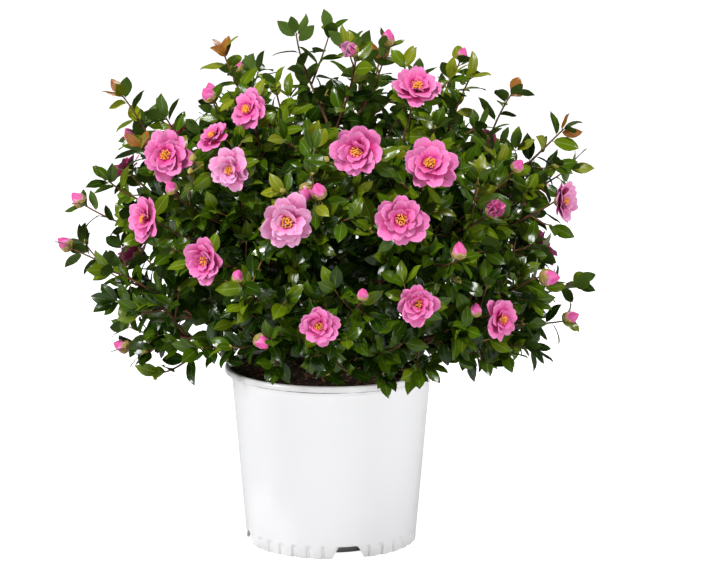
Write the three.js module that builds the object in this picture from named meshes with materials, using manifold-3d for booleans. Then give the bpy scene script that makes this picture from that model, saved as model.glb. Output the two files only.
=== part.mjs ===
// A camellia shrub in a moulded nursery pot, in millimetres, +Z up.
// The origin is the centre of the pot's flat underside, and the shrub's front faces -Y.
import * as THREE from "three";
import { mergeVertices } from "three/addons/utils/BufferGeometryUtils.js";
import Module from "manifold-3d";

const wasm = await Module();
wasm.setup();

// ---------------------------------------------------------------- driving dimensions

const GAP = 0.3; // clearance between pieces that touch
const UP = new THREE.Vector3(0, 0, 1);

const POT = {
  height: 240,
  footRadius: 114, // outer wall at the ground
  bodyRadius: 133.5, // outer wall under the rim
  beadRadius: 136.4, // the step in the wall under the lip
  rimRadius: 142.5,
  wall: 2.4,
  rimBase: 226, // height where the bead under the lip begins
  lipBase: 231.6, // underside of the lip
  lipWidth: 5.5, // across the lip's top
  lipRound: 1.2,
  bossRadius: 82, // flat middle of the underside, which stands on the ground
  channelHeight: 14, // hollow ring under the floor, inside the skirt
  skirtWidth: 3,
  flutes: 36,
  fluteDepth: 2,
  fluteTop: 16,
  notches: 4,
  notchTurn: 12, // degrees from the front to the first drain notch
  notchHeight: 17,
  notchFoot: 42, // width at the ground
  notchHead: 25, // width at the top of the notch
  notchReach: 16, // how far the notch runs in from the skirt's outside
};

const MIX = { level: 234, roughness: 2.2, flatRadius: 20, rings: 4, spokes: 24 };

const TRUNK = { flareRadius: 14, radius: 8.5, tipRadius: 5.5, top: 292, lean: 5, flareHeight: 16 };

const BOUGH = { startRadius: 4.6, endRadius: 4, reach: 125, sides: 5, steps: 4 };

// The point that the boughs spread from, and the ellipsoid that the crown fills.
const FORK = new THREE.Vector3(0, 0, 250);
const CROWN = { centre: new THREE.Vector3(0, 0, 420), half: new THREE.Vector3(365, 350, 300) };
// The crown's lower edge starts at this height, and rises with each millimetre out from the middle
// and with each millimetre towards the front. The shoots' tips keep a little above it.
const SKIRT = { height: 215, rise: 0.1, frontRise: 0.07, tipAbove: 18 };

// Rings of foliage masses: how many, their elevation, and the compass turn of the first, in degrees.
// A turn of 0 faces the front, and a positive turn goes round to the shrub's left, which is +X.
const RINGS = [
  { name: "crown_top", count: 1, elevation: 90, turn: 0 },
  { name: "crown_upper", count: 6, elevation: 45, turn: 30 },
  { name: "crown_lower", count: 8, elevation: 13, turn: 32 },
];

const LEAF = { length: 76, width: 38, fold: 3, widest: 0.46, droop: 8, spread: 54, sink: 0.5 };
const TIP_LEAF = { leafy: 0.7, tuft: 0.62, spread: 16 }; // the young leaf that ends a shoot
const SHOOT = { startRadius: 2.1, endRadius: 1.8, sides: 3, steps: 2, leaves: 4, leafFrom: 0.34 };
const STEM = { endRadius: 3.2, share: 0.6, sides: 4, steps: 4 };
const BLOOM = { across: 70, sides: 10, notch: 0.8 };
const BUD = { length: 24, width: 15 };
const SPACE_GAP = 0.6; // from a mass to the edge of its own space
const RIM_CLEARANCE = 4; // from foliage to the pot's rim
const LEAF_SHARE = 1.02; // how far side leaves reach, as a share of the crown's ellipsoid

// Shoots that stand out round the crown's edge, seen from the front: the angle above the
// horizontal at the fork in degrees, the reach from the fork, and what the tip bears. They lie
// in turn a little before and behind the middle, and the lowest ones further forward.
const EDGE_SWING = 46;
const EDGE_LOW = { angle: 0, forward: 120 };
const EDGE_SIGHT = 0.19; // a shoot further forward stands this much higher for each millimetre
const EDGE_SHOOTS = [
  [-2, 244, "leafy"], [7, 290, "leafy"], [9, 330, "bud"], [17, 380, "leafy"],
  [39, 443, "leafy"], [45, 466, "tuft"], [56, 466, "tuft"], [64, 452, "leafy"],
  [80, 444, "bud"], [96, 472, "tuft"], [109, 464, "tuft"], [114, 402, "bud"],
  [124, 424, "leafy"], [128, 480, "tuft"], [132, 410, "bud"], [141, 412, "leafy"],
  [148, 408, "bud"], [157, 394, "bud"], [165, 332, "leafy"], [178, 292, "bud"],
  [185, 258, "leafy"],
];

// Blooms and buds that the front shows: what it is, how far across (+X) and how high its middle
// lies, its width, and the way it faces: degrees of turn towards +X and degrees of tilt upwards.
const FRONT_TIPS = [
  ["bloom", -211, 560, 66, -12, 12], ["bloom", -124, 552, 54, -22, 0],
  ["bloom", -146, 582, 46, -45, 45], ["bloom", -101, 618, 54, -35, 18],
  ["bloom", -250, 462, 60, -52, 4], ["bloom", -148, 412, 62, -30, 0],
  ["bloom", -50, 480, 72, 0, 6], ["bloom", 40, 578, 70, -20, 2],
  ["bloom", 112, 640, 66, 4, 44], ["bloom", 128, 554, 70, 4, 30],
  ["bloom", 90, 495, 70, 6, 6], ["bloom", 315, 457, 62, 60, 4],
  ["bloom", 112, 384, 56, 4, 8], ["bloom", 218, 351, 56, 42, 2],
  ["bloom", -14, 358, 52, 0, 8], ["opening", 218, 498, 34, 24, 30],
  ["opening", 36, 690, 30, -50, 20], ["bud", -30, 543, 24, 0, -60],
  ["bud", -12, 525, 24, -20, 60], ["bud", 174, 431, 24, 0, 80],
  ["bud", 286, 397, 28, 80, 0], ["bud", -205, 518, 20, -40, 60],
  ["bud", -97, 341, 24, 40, -30], ["bud", -157, 630, 22, -50, 50],
  ["bud", 244, 539, 20, 50, 50], ["bud", 193, 359, 20, 0, 70],
  ["bud", -121, 418, 18, 20, 60], ["bud", 48, 394, 18, 0, 60],
];

// Shoots between them, spread evenly over the crown.
const FILL = { points: 110, spacing: 62, nearest: 0.8, furthest: 0.95, seed: 516 };
const FILL_KINDS = {
  top: [["bud", 0.15], ["tuft", 0.45]],
  back: [["bloom", 0.4], ["bud", 0.55], ["tuft", 0.62]],
  front: [["bud", 0.1]],
};
const FRONT_DEPTH = -90; // a fill shoot with its tip before this plane is at the front
const BLOOM_CEILING = 540; // behind the front, blooms open below this height

// ---------------------------------------------------------------- helpers

// Numbers from 0 to 1 that are the same each time for the same seed.
function seeded(seed) {
  let state = seed >>> 0;
  return () => {
    state = (state + 0x6d2b79f5) >>> 0;
    let mixed = Math.imul(state ^ (state >>> 15), state | 1);
    mixed ^= mixed + Math.imul(mixed ^ (mixed >>> 7), mixed | 61);
    return ((mixed ^ (mixed >>> 14)) >>> 0) / 4294967296;
  };
}

const radians = THREE.MathUtils.degToRad;

// A direction from its turn round the shrub and its elevation, in degrees. Turn 0 is the front.
function heading(turn, elevation) {
  const across = Math.cos(radians(elevation));
  return new THREE.Vector3(
    across * Math.sin(radians(turn)),
    -across * Math.cos(radians(turn)),
    Math.sin(radians(elevation)),
  );
}

// The closed solid of a geometry, with its shared vertices merged and its flat triangles left out.
function solidOf(geometry) {
  const bare = geometry.clone();
  bare.deleteAttribute("normal");
  bare.deleteAttribute("uv");
  const merged = mergeVertices(bare, 1e-3);
  const corners = merged.index.array;
  const kept = [];
  for (let i = 0; i < corners.length; i += 3) {
    const [a, b, c] = corners.slice(i, i + 3);
    if (a !== b && b !== c && c !== a) kept.push(a, b, c);
  }
  return new wasm.Manifold(
    new wasm.Mesh({
      numProp: 3,
      vertProperties: new Float32Array(merged.attributes.position.array),
      triVerts: new Uint32Array(kept),
    }),
  );
}

// The geometry of a solid.
function geometryOf(solid) {
  const mesh = solid.getMesh();
  const positions = new Float32Array(mesh.numVert * 3);
  for (let i = 0; i < mesh.numVert; i++) {
    positions.set(mesh.vertProperties.subarray(i * mesh.numProp, i * mesh.numProp + 3), i * 3);
  }
  const geometry = new THREE.BufferGeometry();
  geometry.setAttribute("position", new THREE.BufferAttribute(positions, 3));
  geometry.setIndex(new THREE.BufferAttribute(new Uint32Array(mesh.triVerts), 1));
  geometry.computeVertexNormals();
  return geometry;
}

// Moves each vertex of a geometry by a function that changes the vector it is given.
function reshape(geometry, change) {
  const positions = geometry.attributes.position;
  const point = new THREE.Vector3();
  for (let i = 0; i < positions.count; i++) {
    point.fromBufferAttribute(positions, i);
    change(point);
    positions.setXYZ(i, point.x, point.y, point.z);
  }
  return geometry;
}

// A closed limb along a curve, whose radius is a function of the share of its length.
function limb(path, radiusAt, sides, steps) {
  const frames = path.computeFrenetFrames(steps);
  return reshape(new THREE.CylinderGeometry(1, 1, 1, sides, steps), (point) => {
    const along = THREE.MathUtils.clamp(point.y + 0.5, 0, 1);
    const step = Math.round(along * steps);
    const radius = radiusAt(along);
    const centre = path.getPointAt(along);
    const [across, outward] = [point.x * radius, -point.z * radius];
    point.copy(centre).addScaledVector(frames.normals[step], across);
    point.addScaledVector(frames.binormals[step], outward);
  });
}

const taper = (from, to) => (along) => THREE.MathUtils.lerp(from, to, along);

// A geometry placed so that its X points along a direction and its Z stands nearest to a normal.
function placed(geometry, at, along, normal) {
  const z = normal.clone().addScaledVector(along, -normal.dot(along)).normalize();
  const y = z.clone().cross(along);
  const matrix = new THREE.Matrix4().makeBasis(along, y, z).setPosition(at);
  return geometry.applyMatrix4(matrix);
}

// ---------------------------------------------------------------- pot

const wallRadius = (z) => THREE.MathUtils.lerp(POT.footRadius, POT.bodyRadius, z / POT.rimBase);

function potShell() {
  const mouth = POT.rimRadius - POT.lipWidth;
  const channelEdge = wallRadius(0) - POT.skirtWidth;
  const floorTop = POT.channelHeight + POT.wall;
  const profile = [
    [0, 0],
    [POT.bossRadius, 0],
    [POT.bossRadius + 8, POT.channelHeight],
    [channelEdge - 1, POT.channelHeight],
    [channelEdge, 0],
    [wallRadius(0), 0],
    [wallRadius(POT.fluteTop), POT.fluteTop],
    [wallRadius(POT.fluteTop + 3), POT.fluteTop + 3],
    [POT.bodyRadius, POT.rimBase],
    [POT.beadRadius, POT.rimBase + 1.8],
    [POT.beadRadius, POT.lipBase],
    [POT.rimRadius, POT.lipBase],
    [POT.rimRadius, POT.height - POT.lipRound],
    [POT.rimRadius - POT.lipRound, POT.height],
    [mouth, POT.height],
    [mouth, POT.lipBase + 1.5],
    [POT.beadRadius - POT.wall, POT.lipBase - 0.6],
    [POT.bodyRadius - POT.wall, POT.rimBase + 1],
    [wallRadius(floorTop) - POT.wall, floorTop],
    [POT.bossRadius + 6, floorTop],
    [POT.bossRadius - 2, POT.wall],
    [0, POT.wall],
  ].map(([radius, z]) => new THREE.Vector2(radius, z));
  const spokes = POT.flutes * 2;
  // A lathe turns its profile round Y, so the pot is stood up afterwards.
  const shell = new THREE.LatheGeometry(profile, spokes).rotateX(Math.PI / 2);
  return reshape(shell, (point) => {
    const radius = Math.hypot(point.x, point.y);
    const outside = radius > channelEdge + 1 && point.z <= POT.fluteTop + 0.1;
    const spoke = Math.round((Math.atan2(point.x, -point.y) / (2 * Math.PI)) * spokes);
    if (outside && Math.abs(spoke) % 2 === 1) {
      const dip = point.z < 1 ? POT.fluteDepth : POT.fluteDepth * 0.8;
      point.x *= 1 - dip / radius;
      point.y *= 1 - dip / radius;
    }
  });
}

function drainNotch(turn) {
  const [foot, head] = [POT.notchFoot / 2, POT.notchHead / 2];
  const outline = new THREE.Shape([
    new THREE.Vector2(-foot - 3, -2),
    new THREE.Vector2(foot + 3, -2),
    new THREE.Vector2(head, POT.notchHeight),
    new THREE.Vector2(-head, POT.notchHeight),
  ]);
  const block = new THREE.ExtrudeGeometry(outline, { depth: 2 * POT.notchReach, bevelEnabled: false });
  block.rotateX(Math.PI / 2);
  block.translate(0, -(POT.footRadius - POT.notchReach), 0);
  return block.rotateZ(radians(turn));
}

function pot() {
  let solid = solidOf(potShell());
  for (let i = 0; i < POT.notches; i++) {
    const turn = POT.notchTurn + (i * 360) / POT.notches;
    solid = solid.subtract(solidOf(drainNotch(turn)));
  }
  return solid;
}

// The potting mix fills the pot, flat where the trunk stands and lumpy elsewhere.
function pottingMix() {
  const floorTop = POT.channelHeight + POT.wall;
  const inside = (z) => wallRadius(z) - POT.wall - GAP;
  const profile = [
    [0, POT.wall + GAP],
    [POT.bossRadius - 3, POT.wall + GAP],
    [POT.bossRadius + 5, floorTop + GAP],
    [inside(floorTop) - 1, floorTop + GAP],
    [inside(POT.rimBase), POT.rimBase + 1.4],
    [POT.beadRadius - POT.wall - 0.5, POT.lipBase - 0.2],
    [POT.rimRadius - POT.lipWidth - 0.7, POT.lipBase + 1.8],
  ];
  const edge = POT.rimRadius - POT.lipWidth - 0.7;
  for (let ring = 0; ring < MIX.rings; ring++) {
    const share = ring / (MIX.rings - 1);
    profile.push([THREE.MathUtils.lerp(edge, MIX.flatRadius, share), MIX.level]);
  }
  profile.push([0, MIX.level]);
  const points = profile.map(([radius, z]) => new THREE.Vector2(radius, z));
  const lathe = new THREE.LatheGeometry(points, MIX.spokes).rotateX(Math.PI / 2);
  return solidOf(
    reshape(lathe, (point) => {
      const radius = Math.hypot(point.x, point.y);
      if (point.z < MIX.level - 0.1 || radius < MIX.flatRadius + 1 || radius > edge - 1) return;
      const swell = Math.sin(point.x * 0.11 + 1) * Math.cos(point.y * 0.09 - 2);
      point.z += MIX.roughness * swell - MIX.roughness;
    }),
  );
}

// ---------------------------------------------------------------- trunk and boughs

const trunkFoot = new THREE.Vector3(0, 0, MIX.level + GAP);
const trunkTip = new THREE.Vector3(TRUNK.lean, -TRUNK.lean / 2, TRUNK.top);

function trunkRadius(along) {
  const height = along * (TRUNK.top - trunkFoot.z);
  const flare = Math.max(0, 1 - height / TRUNK.flareHeight) ** 2;
  const straight = THREE.MathUtils.lerp(TRUNK.radius, TRUNK.tipRadius, along);
  return straight + (TRUNK.flareRadius - TRUNK.radius) * flare;
}

function trunkSolid(extra) {
  const path = new THREE.LineCurve3(trunkFoot, trunkTip);
  const radiusAt = (along) => trunkRadius(along) + extra;
  return solidOf(
    reshape(limb(path, radiusAt, 10, 7), (point) => {
      if (point.z < trunkFoot.z + 1) point.z = trunkFoot.z; // the flat cut at the ground
    }),
  );
}

// The masses of foliage: a name and the direction of each one's space, seen from the fork.
const masses = RINGS.flatMap((ring) =>
  Array.from({ length: ring.count }, (_, i) => {
    const turn = ring.turn + (i * 360) / ring.count;
    return {
      name: ring.count > 1 ? `${ring.name}_${i + 1}` : ring.name,
      axis: heading(turn, ring.elevation),
      turn,
      ring,
      order: i,
    };
  }),
);

// Where a bough leaves the trunk's middle line: lower boughs low down, in turn at two heights.
function boughHeight(mass) {
  if (mass.ring.count === 1) return TRUNK.top;
  const low = mass.ring.elevation < 30;
  return (low ? 242 : 266) + (mass.order % 2) * (low ? 12 : 13);
}

function boughPath(mass) {
  const share = (boughHeight(mass) - trunkFoot.z) / (TRUNK.top - trunkFoot.z);
  const start = trunkFoot.clone().lerp(trunkTip, share);
  const end = FORK.clone().addScaledVector(mass.axis, BOUGH.reach);
  const isTop = mass.ring.count === 1;
  const rise = isTop ? 0.4 : 0.25;
  if (isTop) start.addScaledVector(trunkTip.clone().sub(trunkFoot).normalize(), GAP);
  const length = start.distanceTo(end);
  const first = start.clone().addScaledVector(mass.axis, 0.35 * length);
  first.addScaledVector(UP, isTop ? 0 : rise * 0.2 * length);
  const last = end.clone().addScaledVector(mass.axis, -0.35 * length);
  return new THREE.CubicBezierCurve3(start, first, last, end);
}

function bough(mass, trunkClearance) {
  const radiusAt = taper(BOUGH.startRadius, BOUGH.endRadius);
  const whole = solidOf(limb(boughPath(mass), radiusAt, BOUGH.sides, BOUGH.steps));
  return largestPiece(whole.subtract(trunkClearance));
}

// ---------------------------------------------------------------- where the shoots end

const crownShare = (point) =>
  point.clone().sub(CROWN.centre).divide(CROWN.half).length();

// The height of the crown's lower edge at a point.
const skirtHeight = (point) =>
  SKIRT.height + SKIRT.rise * Math.hypot(point.x, point.y) + SKIRT.frontRise * Math.max(0, -point.y);

// The mass whose space a point falls in: the one whose direction it lies nearest to.
function massOf(point) {
  const away = point.clone().sub(FORK).normalize();
  return masses.reduce((best, mass) => (mass.axis.dot(away) > best.axis.dot(away) ? mass : best));
}

// How far a point lies inside a mass's own space, a cone of flat sides from the fork.
function depthInside(point, mass) {
  const away = point.clone().sub(FORK);
  let depth = away.dot(mass.axis) - BOUGH.reach - GAP;
  for (const other of masses) {
    if (other === mass) continue;
    const side = mass.axis.clone().sub(other.axis).normalize();
    depth = Math.min(depth, away.dot(side));
  }
  return depth;
}

// Moves a tip in from the sides of its mass's space until a ball round it fits.
function keptInside(tip, mass, radius) {
  for (let round = 0; round < 4; round++) {
    for (const other of masses) {
      if (other === mass) continue;
      const side = mass.axis.clone().sub(other.axis).normalize();
      const short = radius - tip.clone().sub(FORK).dot(side);
      if (short > 0) tip.addScaledVector(side, short);
    }
  }
  return tip;
}

function pickedKind(draw, table) {
  const found = table.find(([, share]) => draw < share);
  return found ? found[0] : "leafy";
}

function shootTips() {
  const tips = [];
  const add = (tip, kind, facing, across) => tips.push({ tip, kind, facing, across });
  EDGE_SHOOTS.forEach(([angle, reach, kind], i) => {
    const rise = reach * Math.sin(radians(angle));
    const low = angle < EDGE_LOW.angle || angle > 180 - EDGE_LOW.angle;
    const depth = low ? -EDGE_LOW.forward : EDGE_SWING * Math.sin(2.4 * i);
    const tip = new THREE.Vector3(reach * Math.cos(radians(angle)), depth, rise - EDGE_SIGHT * depth);
    add(tip.add(FORK), kind, null, kind === "bud" ? BUD.length : 0);
  });
  for (const [kind, across, height, width, turn, tilt] of FRONT_TIPS) {
    const [x, z] = [across / CROWN.half.x, (height - CROWN.centre.z) / CROWN.half.z];
    const y = -CROWN.half.y * Math.sqrt(Math.max(0, 0.92 ** 2 - x * x - z * z));
    add(new THREE.Vector3(across, y, height), kind, heading(turn, tilt), width);
  }
  const random = seeded(FILL.seed);
  const golden = Math.PI * (3 - Math.sqrt(5));
  for (let i = 0; i < FILL.points; i++) {
    const share = THREE.MathUtils.lerp(FILL.nearest, FILL.furthest, random());
    const chance = random();
    const size = random();
    const z = 1 - (2 * (i + 0.5)) / FILL.points;
    const ring = Math.sqrt(1 - z * z);
    const tip = new THREE.Vector3(ring * Math.cos(golden * i), ring * Math.sin(golden * i), z);
    tip.multiply(CROWN.half).multiplyScalar(share).add(CROWN.centre);
    const crowded = tips.some((other) => other.tip.distanceTo(tip) < FILL.spacing);
    if (tip.z < skirtHeight(tip) + SKIRT.tipAbove || crowded) continue;
    const place = tip.y < FRONT_DEPTH ? "front" : tip.z > BLOOM_CEILING ? "top" : "back";
    const kind = pickedKind(chance, FILL_KINDS[place]);
    const width = kind === "bloom" ? BLOOM.across * (0.74 + 0.28 * size) : BUD.length * (0.7 + 0.3 * size);
    add(tip, kind, null, width);
  }
  return tips;
}

// How far what a shoot bears stands out past the end of its twig.
function tipLength(kind, across) {
  if (kind in TIP_LEAF) return TIP_LEAF[kind] * LEAF.length * Math.cos(radians(TIP_LEAF.spread));
  return kind === "bloom" ? 0.2 * across : 0.8 * across;
}

// The line of one shoot, from its mass's stem to the point where its last leaves or bloom sit.
// Shoots that lean furthest from the stem leave it lowest; leave is the share of its length.
function shootPath({ tip, kind, across, leave }, mass) {
  const toTip = tip.clone().sub(FORK);
  const reach = toTip.length();
  const away = toTip.clone().normalize();
  const from = THREE.MathUtils.lerp(BOUGH.reach + 5, stemReach(mass) - 2, leave);
  const start = FORK.clone().addScaledVector(mass.axis, from);
  const end = FORK.clone().addScaledVector(away, reach - tipLength(kind, across));
  const length = start.distanceTo(end);
  const departure = tip.clone().sub(start).normalize();
  const first = start.clone().addScaledVector(departure, 0.32 * length);
  const last = end.clone().addScaledVector(away, -0.36 * length);
  return new THREE.CubicBezierCurve3(start, first, last, end);
}

// How far a mass's stem reaches from the fork: a share of the way to the crown's edge.
function stemReach(mass) {
  let reach = BOUGH.reach;
  while (crownShare(FORK.clone().addScaledVector(mass.axis, reach)) < 0.9 && reach < 500) reach += 5;
  return BOUGH.reach + STEM.share * (reach - BOUGH.reach);
}

// ---------------------------------------------------------------- leaves, buds and blooms

// A leaf is a tetrahedron drawn out flat: one long edge is its midrib, and the far edge runs
// across it where it is widest, so that its two halves slope down from the midrib.
function leaf(at, along, normal, size) {
  const blade = new THREE.TetrahedronGeometry(Math.sqrt(3)).rotateZ(-Math.PI / 4);
  reshape(blade, (point) => {
    const share = point.z > 0 ? (point.x / Math.SQRT2 + 1) / 2 : LEAF.widest;
    const side = (point.y / Math.SQRT2) * (LEAF.width / 2);
    const rise = ((point.z - 1) * LEAF.fold) / 2 - LEAF.droop * share * share;
    point.set(share * LEAF.length, side, rise);
  });
  blade.scale(size, size, size);
  return placed(blade, at.clone().addScaledVector(along, -LEAF.sink), along, normal);
}

function bud(at, along, length) {
  const width = (length * BUD.width) / BUD.length;
  const profile = [[0, -0.15], [0.42, 0.18], [0.4, 0.55], [0, 1]];
  const points = profile.map(([radius, z]) => new THREE.Vector2(radius * width, z * length));
  const body = new THREE.LatheGeometry(points, 5).rotateX(Math.PI / 2).rotateY(Math.PI / 2);
  return placed(body, at, along, Math.abs(along.z) < 0.9 ? UP : new THREE.Vector3(1, 0, 0));
}

// A bloom is a shallow bowl of petals, notched round its edge, with a boss of stamens.
function bloom(at, along, across) {
  const radius = across / 2;
  const profile = [[0, -0.34], [1, 0.16], [0.3, 0], [0, 0.24]];
  const points = profile.map(([r, z]) => new THREE.Vector2(r * radius, z * radius));
  const bowl = new THREE.LatheGeometry(points, BLOOM.sides).rotateX(Math.PI / 2);
  reshape(bowl, (point) => {
    const spoke = Math.round((Math.atan2(point.x, -point.y) / (2 * Math.PI)) * BLOOM.sides);
    if (Math.hypot(point.x, point.y) < 0.9 * radius || Math.abs(spoke) % 2 === 0) return;
    point.multiplyScalar(BLOOM.notch);
  });
  bowl.rotateY(Math.PI / 2);
  return placed(bowl, at, along, Math.abs(along.z) < 0.9 ? UP : new THREE.Vector3(1, 0, 0));
}

// ---------------------------------------------------------------- masses of foliage

// True if every corner of a geometry keeps to the mass's space and the crown's own reach, and
// clear of the pot and the mix.
function fits(geometry, mass, reach = Infinity) {
  const positions = geometry.attributes.position;
  const point = new THREE.Vector3();
  const middle = new THREE.Vector3();
  for (let i = 0; i < positions.count; i++) {
    point.fromBufferAttribute(positions, i);
    middle.fromBufferAttribute(positions, 0).lerp(point, 0.5);
    if (depthInside(point, mass) < SPACE_GAP || point.z < skirtHeight(point)) return false;
    if (crownShare(point) > reach) return false;
    for (const probe of [point, middle]) {
      const overPot = Math.hypot(probe.x, probe.y) < POT.rimRadius + RIM_CLEARANCE;
      if (overPot && probe.z < POT.height + RIM_CLEARANCE) return false;
    }
  }
  return true;
}

// The way up that a leaf's upper side turns: towards the light and away from the shrub.
function lightAt(point) {
  const outward = point.clone().sub(CROWN.centre).divide(CROWN.half).normalize();
  return outward.multiplyScalar(0.7).add(UP).normalize();
}

// Everything that one mass has grown so far, each solid with the box round it.
class Growth {
  constructor(mass) {
    this.mass = mass;
    this.pieces = [];
    this.faces = []; // the open sides of the blooms, which no leaf hangs in front of
  }

  add(solid) {
    this.pieces.push({ solid, box: solid.boundingBox() });
  }

  // True if a solid runs into a piece other than the twig it grows on.
  strikes(solid, twig) {
    const { min, max } = solid.boundingBox();
    return this.pieces.some(({ solid: other, box }) => {
      if (other === twig) return false;
      if ([0, 1, 2].some((axis) => box.min[axis] > max[axis] || box.max[axis] < min[axis])) return false;
      return !solid.intersect(other).isEmpty();
    });
  }

  // True if a geometry reaches in front of a bloom's open side.
  hides(geometry) {
    const positions = geometry.attributes.position;
    const point = new THREE.Vector3();
    return this.faces.some(({ at, facing, radius }) => {
      for (let i = 0; i < positions.count; i++) {
        point.fromBufferAttribute(positions, i).sub(at);
        const ahead = point.dot(facing);
        if (ahead > 0 && point.addScaledVector(facing, -ahead).length() < radius) return true;
      }
      return false;
    });
  }

  addLeaf(blade, twig, reach) {
    if (!fits(blade, this.mass, reach) || this.hides(blade)) return false;
    const solid = solidOf(blade);
    if (this.strikes(solid, twig)) return false;
    this.add(solid);
    return true;
  }
}

// Sets the leaves of one shoot round its twig, each turned on or shortened until it has room.
function growLeaves(growth, path, twig, kind, random) {
  const frames = path.computeFrenetFrames(40);
  const tryLeaf = (share, turn, spread, size, reach) => {
    const step = Math.round(share * 40);
    const at = path.getPointAt(share);
    const upper = lightAt(at).addScaledVector(frames.tangents[step], 0.5);
    for (const shrink of [1, 0.8]) {
      for (const nudge of [0, 1, 2]) {
        // A leaf leaves its three-sided twig through the middle of one side.
        const angle = radians(90 + 120 * (Math.round(turn / 120) + nudge));
        const side = frames.normals[step].clone().multiplyScalar(Math.cos(angle));
        side.addScaledVector(frames.binormals[step], Math.sin(angle));
        const along = frames.tangents[step].clone().multiplyScalar(Math.cos(radians(spread)));
        along.addScaledVector(side, Math.sin(radians(spread)));
        if (growth.addLeaf(leaf(at, along, upper, size * shrink), twig, reach)) return;
      }
    }
  };
  const turn = 360 * random();
  if (kind in TIP_LEAF) tryLeaf(0.99, turn, TIP_LEAF.spread, TIP_LEAF[kind], Infinity);
  for (let i = SHOOT.leaves - 1; i >= 0; i--) {
    const order = i / (SHOOT.leaves - 1);
    const share = THREE.MathUtils.lerp(SHOOT.leafFrom, 0.94, order);
    const spread = LEAF.spread + 14 * (random() - 0.5);
    const size = THREE.MathUtils.lerp(1.12, 0.86, order) * (0.9 + 0.2 * random());
    tryLeaf(share, turn + 137.5 * (i + 1), spread, size, LEAF_SHARE);
  }
}

// What a shoot bears at its tip: a bud or a bloom, or null for a leafy shoot.
function tipGeometry(path, shoot) {
  const end = path.getPointAt(0.99);
  const away = shoot.tip.clone().sub(FORK).normalize();
  const facing = shoot.facing ?? away.addScaledVector(UP, 0.3).normalize();
  if (shoot.kind in TIP_LEAF) return null;
  if (shoot.kind !== "bloom") return { geometry: bud(end, facing, shoot.across) };
  const at = end.clone().addScaledVector(facing, 0.14 * shoot.across);
  at.addScaledVector(facing.clone().cross(UP).normalize(), 3); // the twig meets it beside its middle
  return { at, facing, radius: 0.42 * shoot.across, geometry: bloom(at, facing, shoot.across) };
}

// The biggest of the separate pieces of a solid. What a fusing seals inside is filled.
function largestPiece(solid) {
  return solid.decompose().reduce((best, piece) => (piece.volume() > best.volume() ? piece : best));
}

function foliage(mass, shoots) {
  const growth = new Growth(mass);
  const start = FORK.clone().addScaledVector(mass.axis, BOUGH.reach + GAP);
  const end = FORK.clone().addScaledVector(mass.axis, stemReach(mass));
  const radiusAt = taper(BOUGH.endRadius, STEM.endRadius);
  growth.add(solidOf(limb(new THREE.LineCurve3(start, end), radiusAt, STEM.sides, STEM.steps)));
  const grown = [];
  for (const shoot of shoots) {
    const path = shootPath(shoot, mass);
    const shape = limb(path, taper(SHOOT.startRadius, SHOOT.endRadius), SHOOT.sides, SHOOT.steps);
    if (!fits(shape, mass)) continue;
    const twig = solidOf(shape);
    growth.add(twig);
    grown.push({ shoot, path, twig });
    const tip = tipGeometry(path, shoot);
    if (!tip || !fits(tip.geometry, mass)) continue;
    growth.add(solidOf(tip.geometry));
    if (shoot.kind === "bloom") growth.faces.push(tip);
  }
  for (const { shoot, path, twig } of grown) growLeaves(growth, path, twig, shoot.kind, shoot.random);
  const solids = growth.pieces.map((piece) => piece.solid);
  return largestPiece(wasm.Manifold.union(solids).simplify(0.05));
}

// Shares the shoots out among the masses, each tip moved in until what it bears fits there.
function shootsByMass() {
  const shares = new Map(masses.map((mass) => [mass, []]));
  shootTips().forEach((shoot, i) => {
    const mass = massOf(shoot.tip);
    const room = shoot.kind === "bloom" ? shoot.across / 2 + 2 : 10;
    keptInside(shoot.tip, mass, room);
    shares.get(mass).push({ ...shoot, random: seeded(1000 + i) });
  });
  for (const [mass, shoots] of shares) {
    const along = (shoot) => shoot.tip.clone().sub(FORK).normalize().dot(mass.axis);
    shoots.sort((a, b) => along(a) - along(b));
    shoots.forEach((shoot, i) => (shoot.leave = (i + 0.5) / shoots.length));
  }
  return shares;
}

// ---------------------------------------------------------------- the whole shrub

const MATERIALS = {
  pot: new THREE.MeshStandardMaterial({ color: "#f1f1f3", roughness: 0.42, metalness: 0 }),
  mix: new THREE.MeshStandardMaterial({ color: "#2c1b12", roughness: 0.95, metalness: 0 }),
  bark: new THREE.MeshStandardMaterial({ color: "#5a3d2b", roughness: 0.85, metalness: 0 }),
  foliage: new THREE.MeshStandardMaterial({ color: "#234d16", roughness: 0.35, metalness: 0 }),
};

const shrub = new THREE.Group();

function addNode(name, solid, material) {
  const mesh = new THREE.Mesh(geometryOf(solid), material);
  mesh.name = name;
  shrub.add(mesh);
}

addNode("pot", pot(), MATERIALS.pot);
addNode("potting_mix", pottingMix(), MATERIALS.mix);
addNode("trunk", trunkSolid(0), MATERIALS.bark);
const trunkClearance = trunkSolid(GAP);
for (const [mass, shoots] of shootsByMass()) {
  addNode(mass.name.replace("crown", "bough"), bough(mass, trunkClearance), MATERIALS.bark);
  addNode(mass.name, foliage(mass, shoots), MATERIALS.foliage);
}

export default shrub;
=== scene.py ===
"""A camellia shrub in a moulded nursery pot: its looks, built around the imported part."""

import logging
import math
from abc import ABC, abstractmethod
from copy import copy
from dataclasses import dataclass, field
from enum import Enum
from typing import Callable, Iterable, Optional, Sequence

import bmesh
import bpy
import numpy as np
from mathutils import Matrix, Vector, noise

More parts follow.
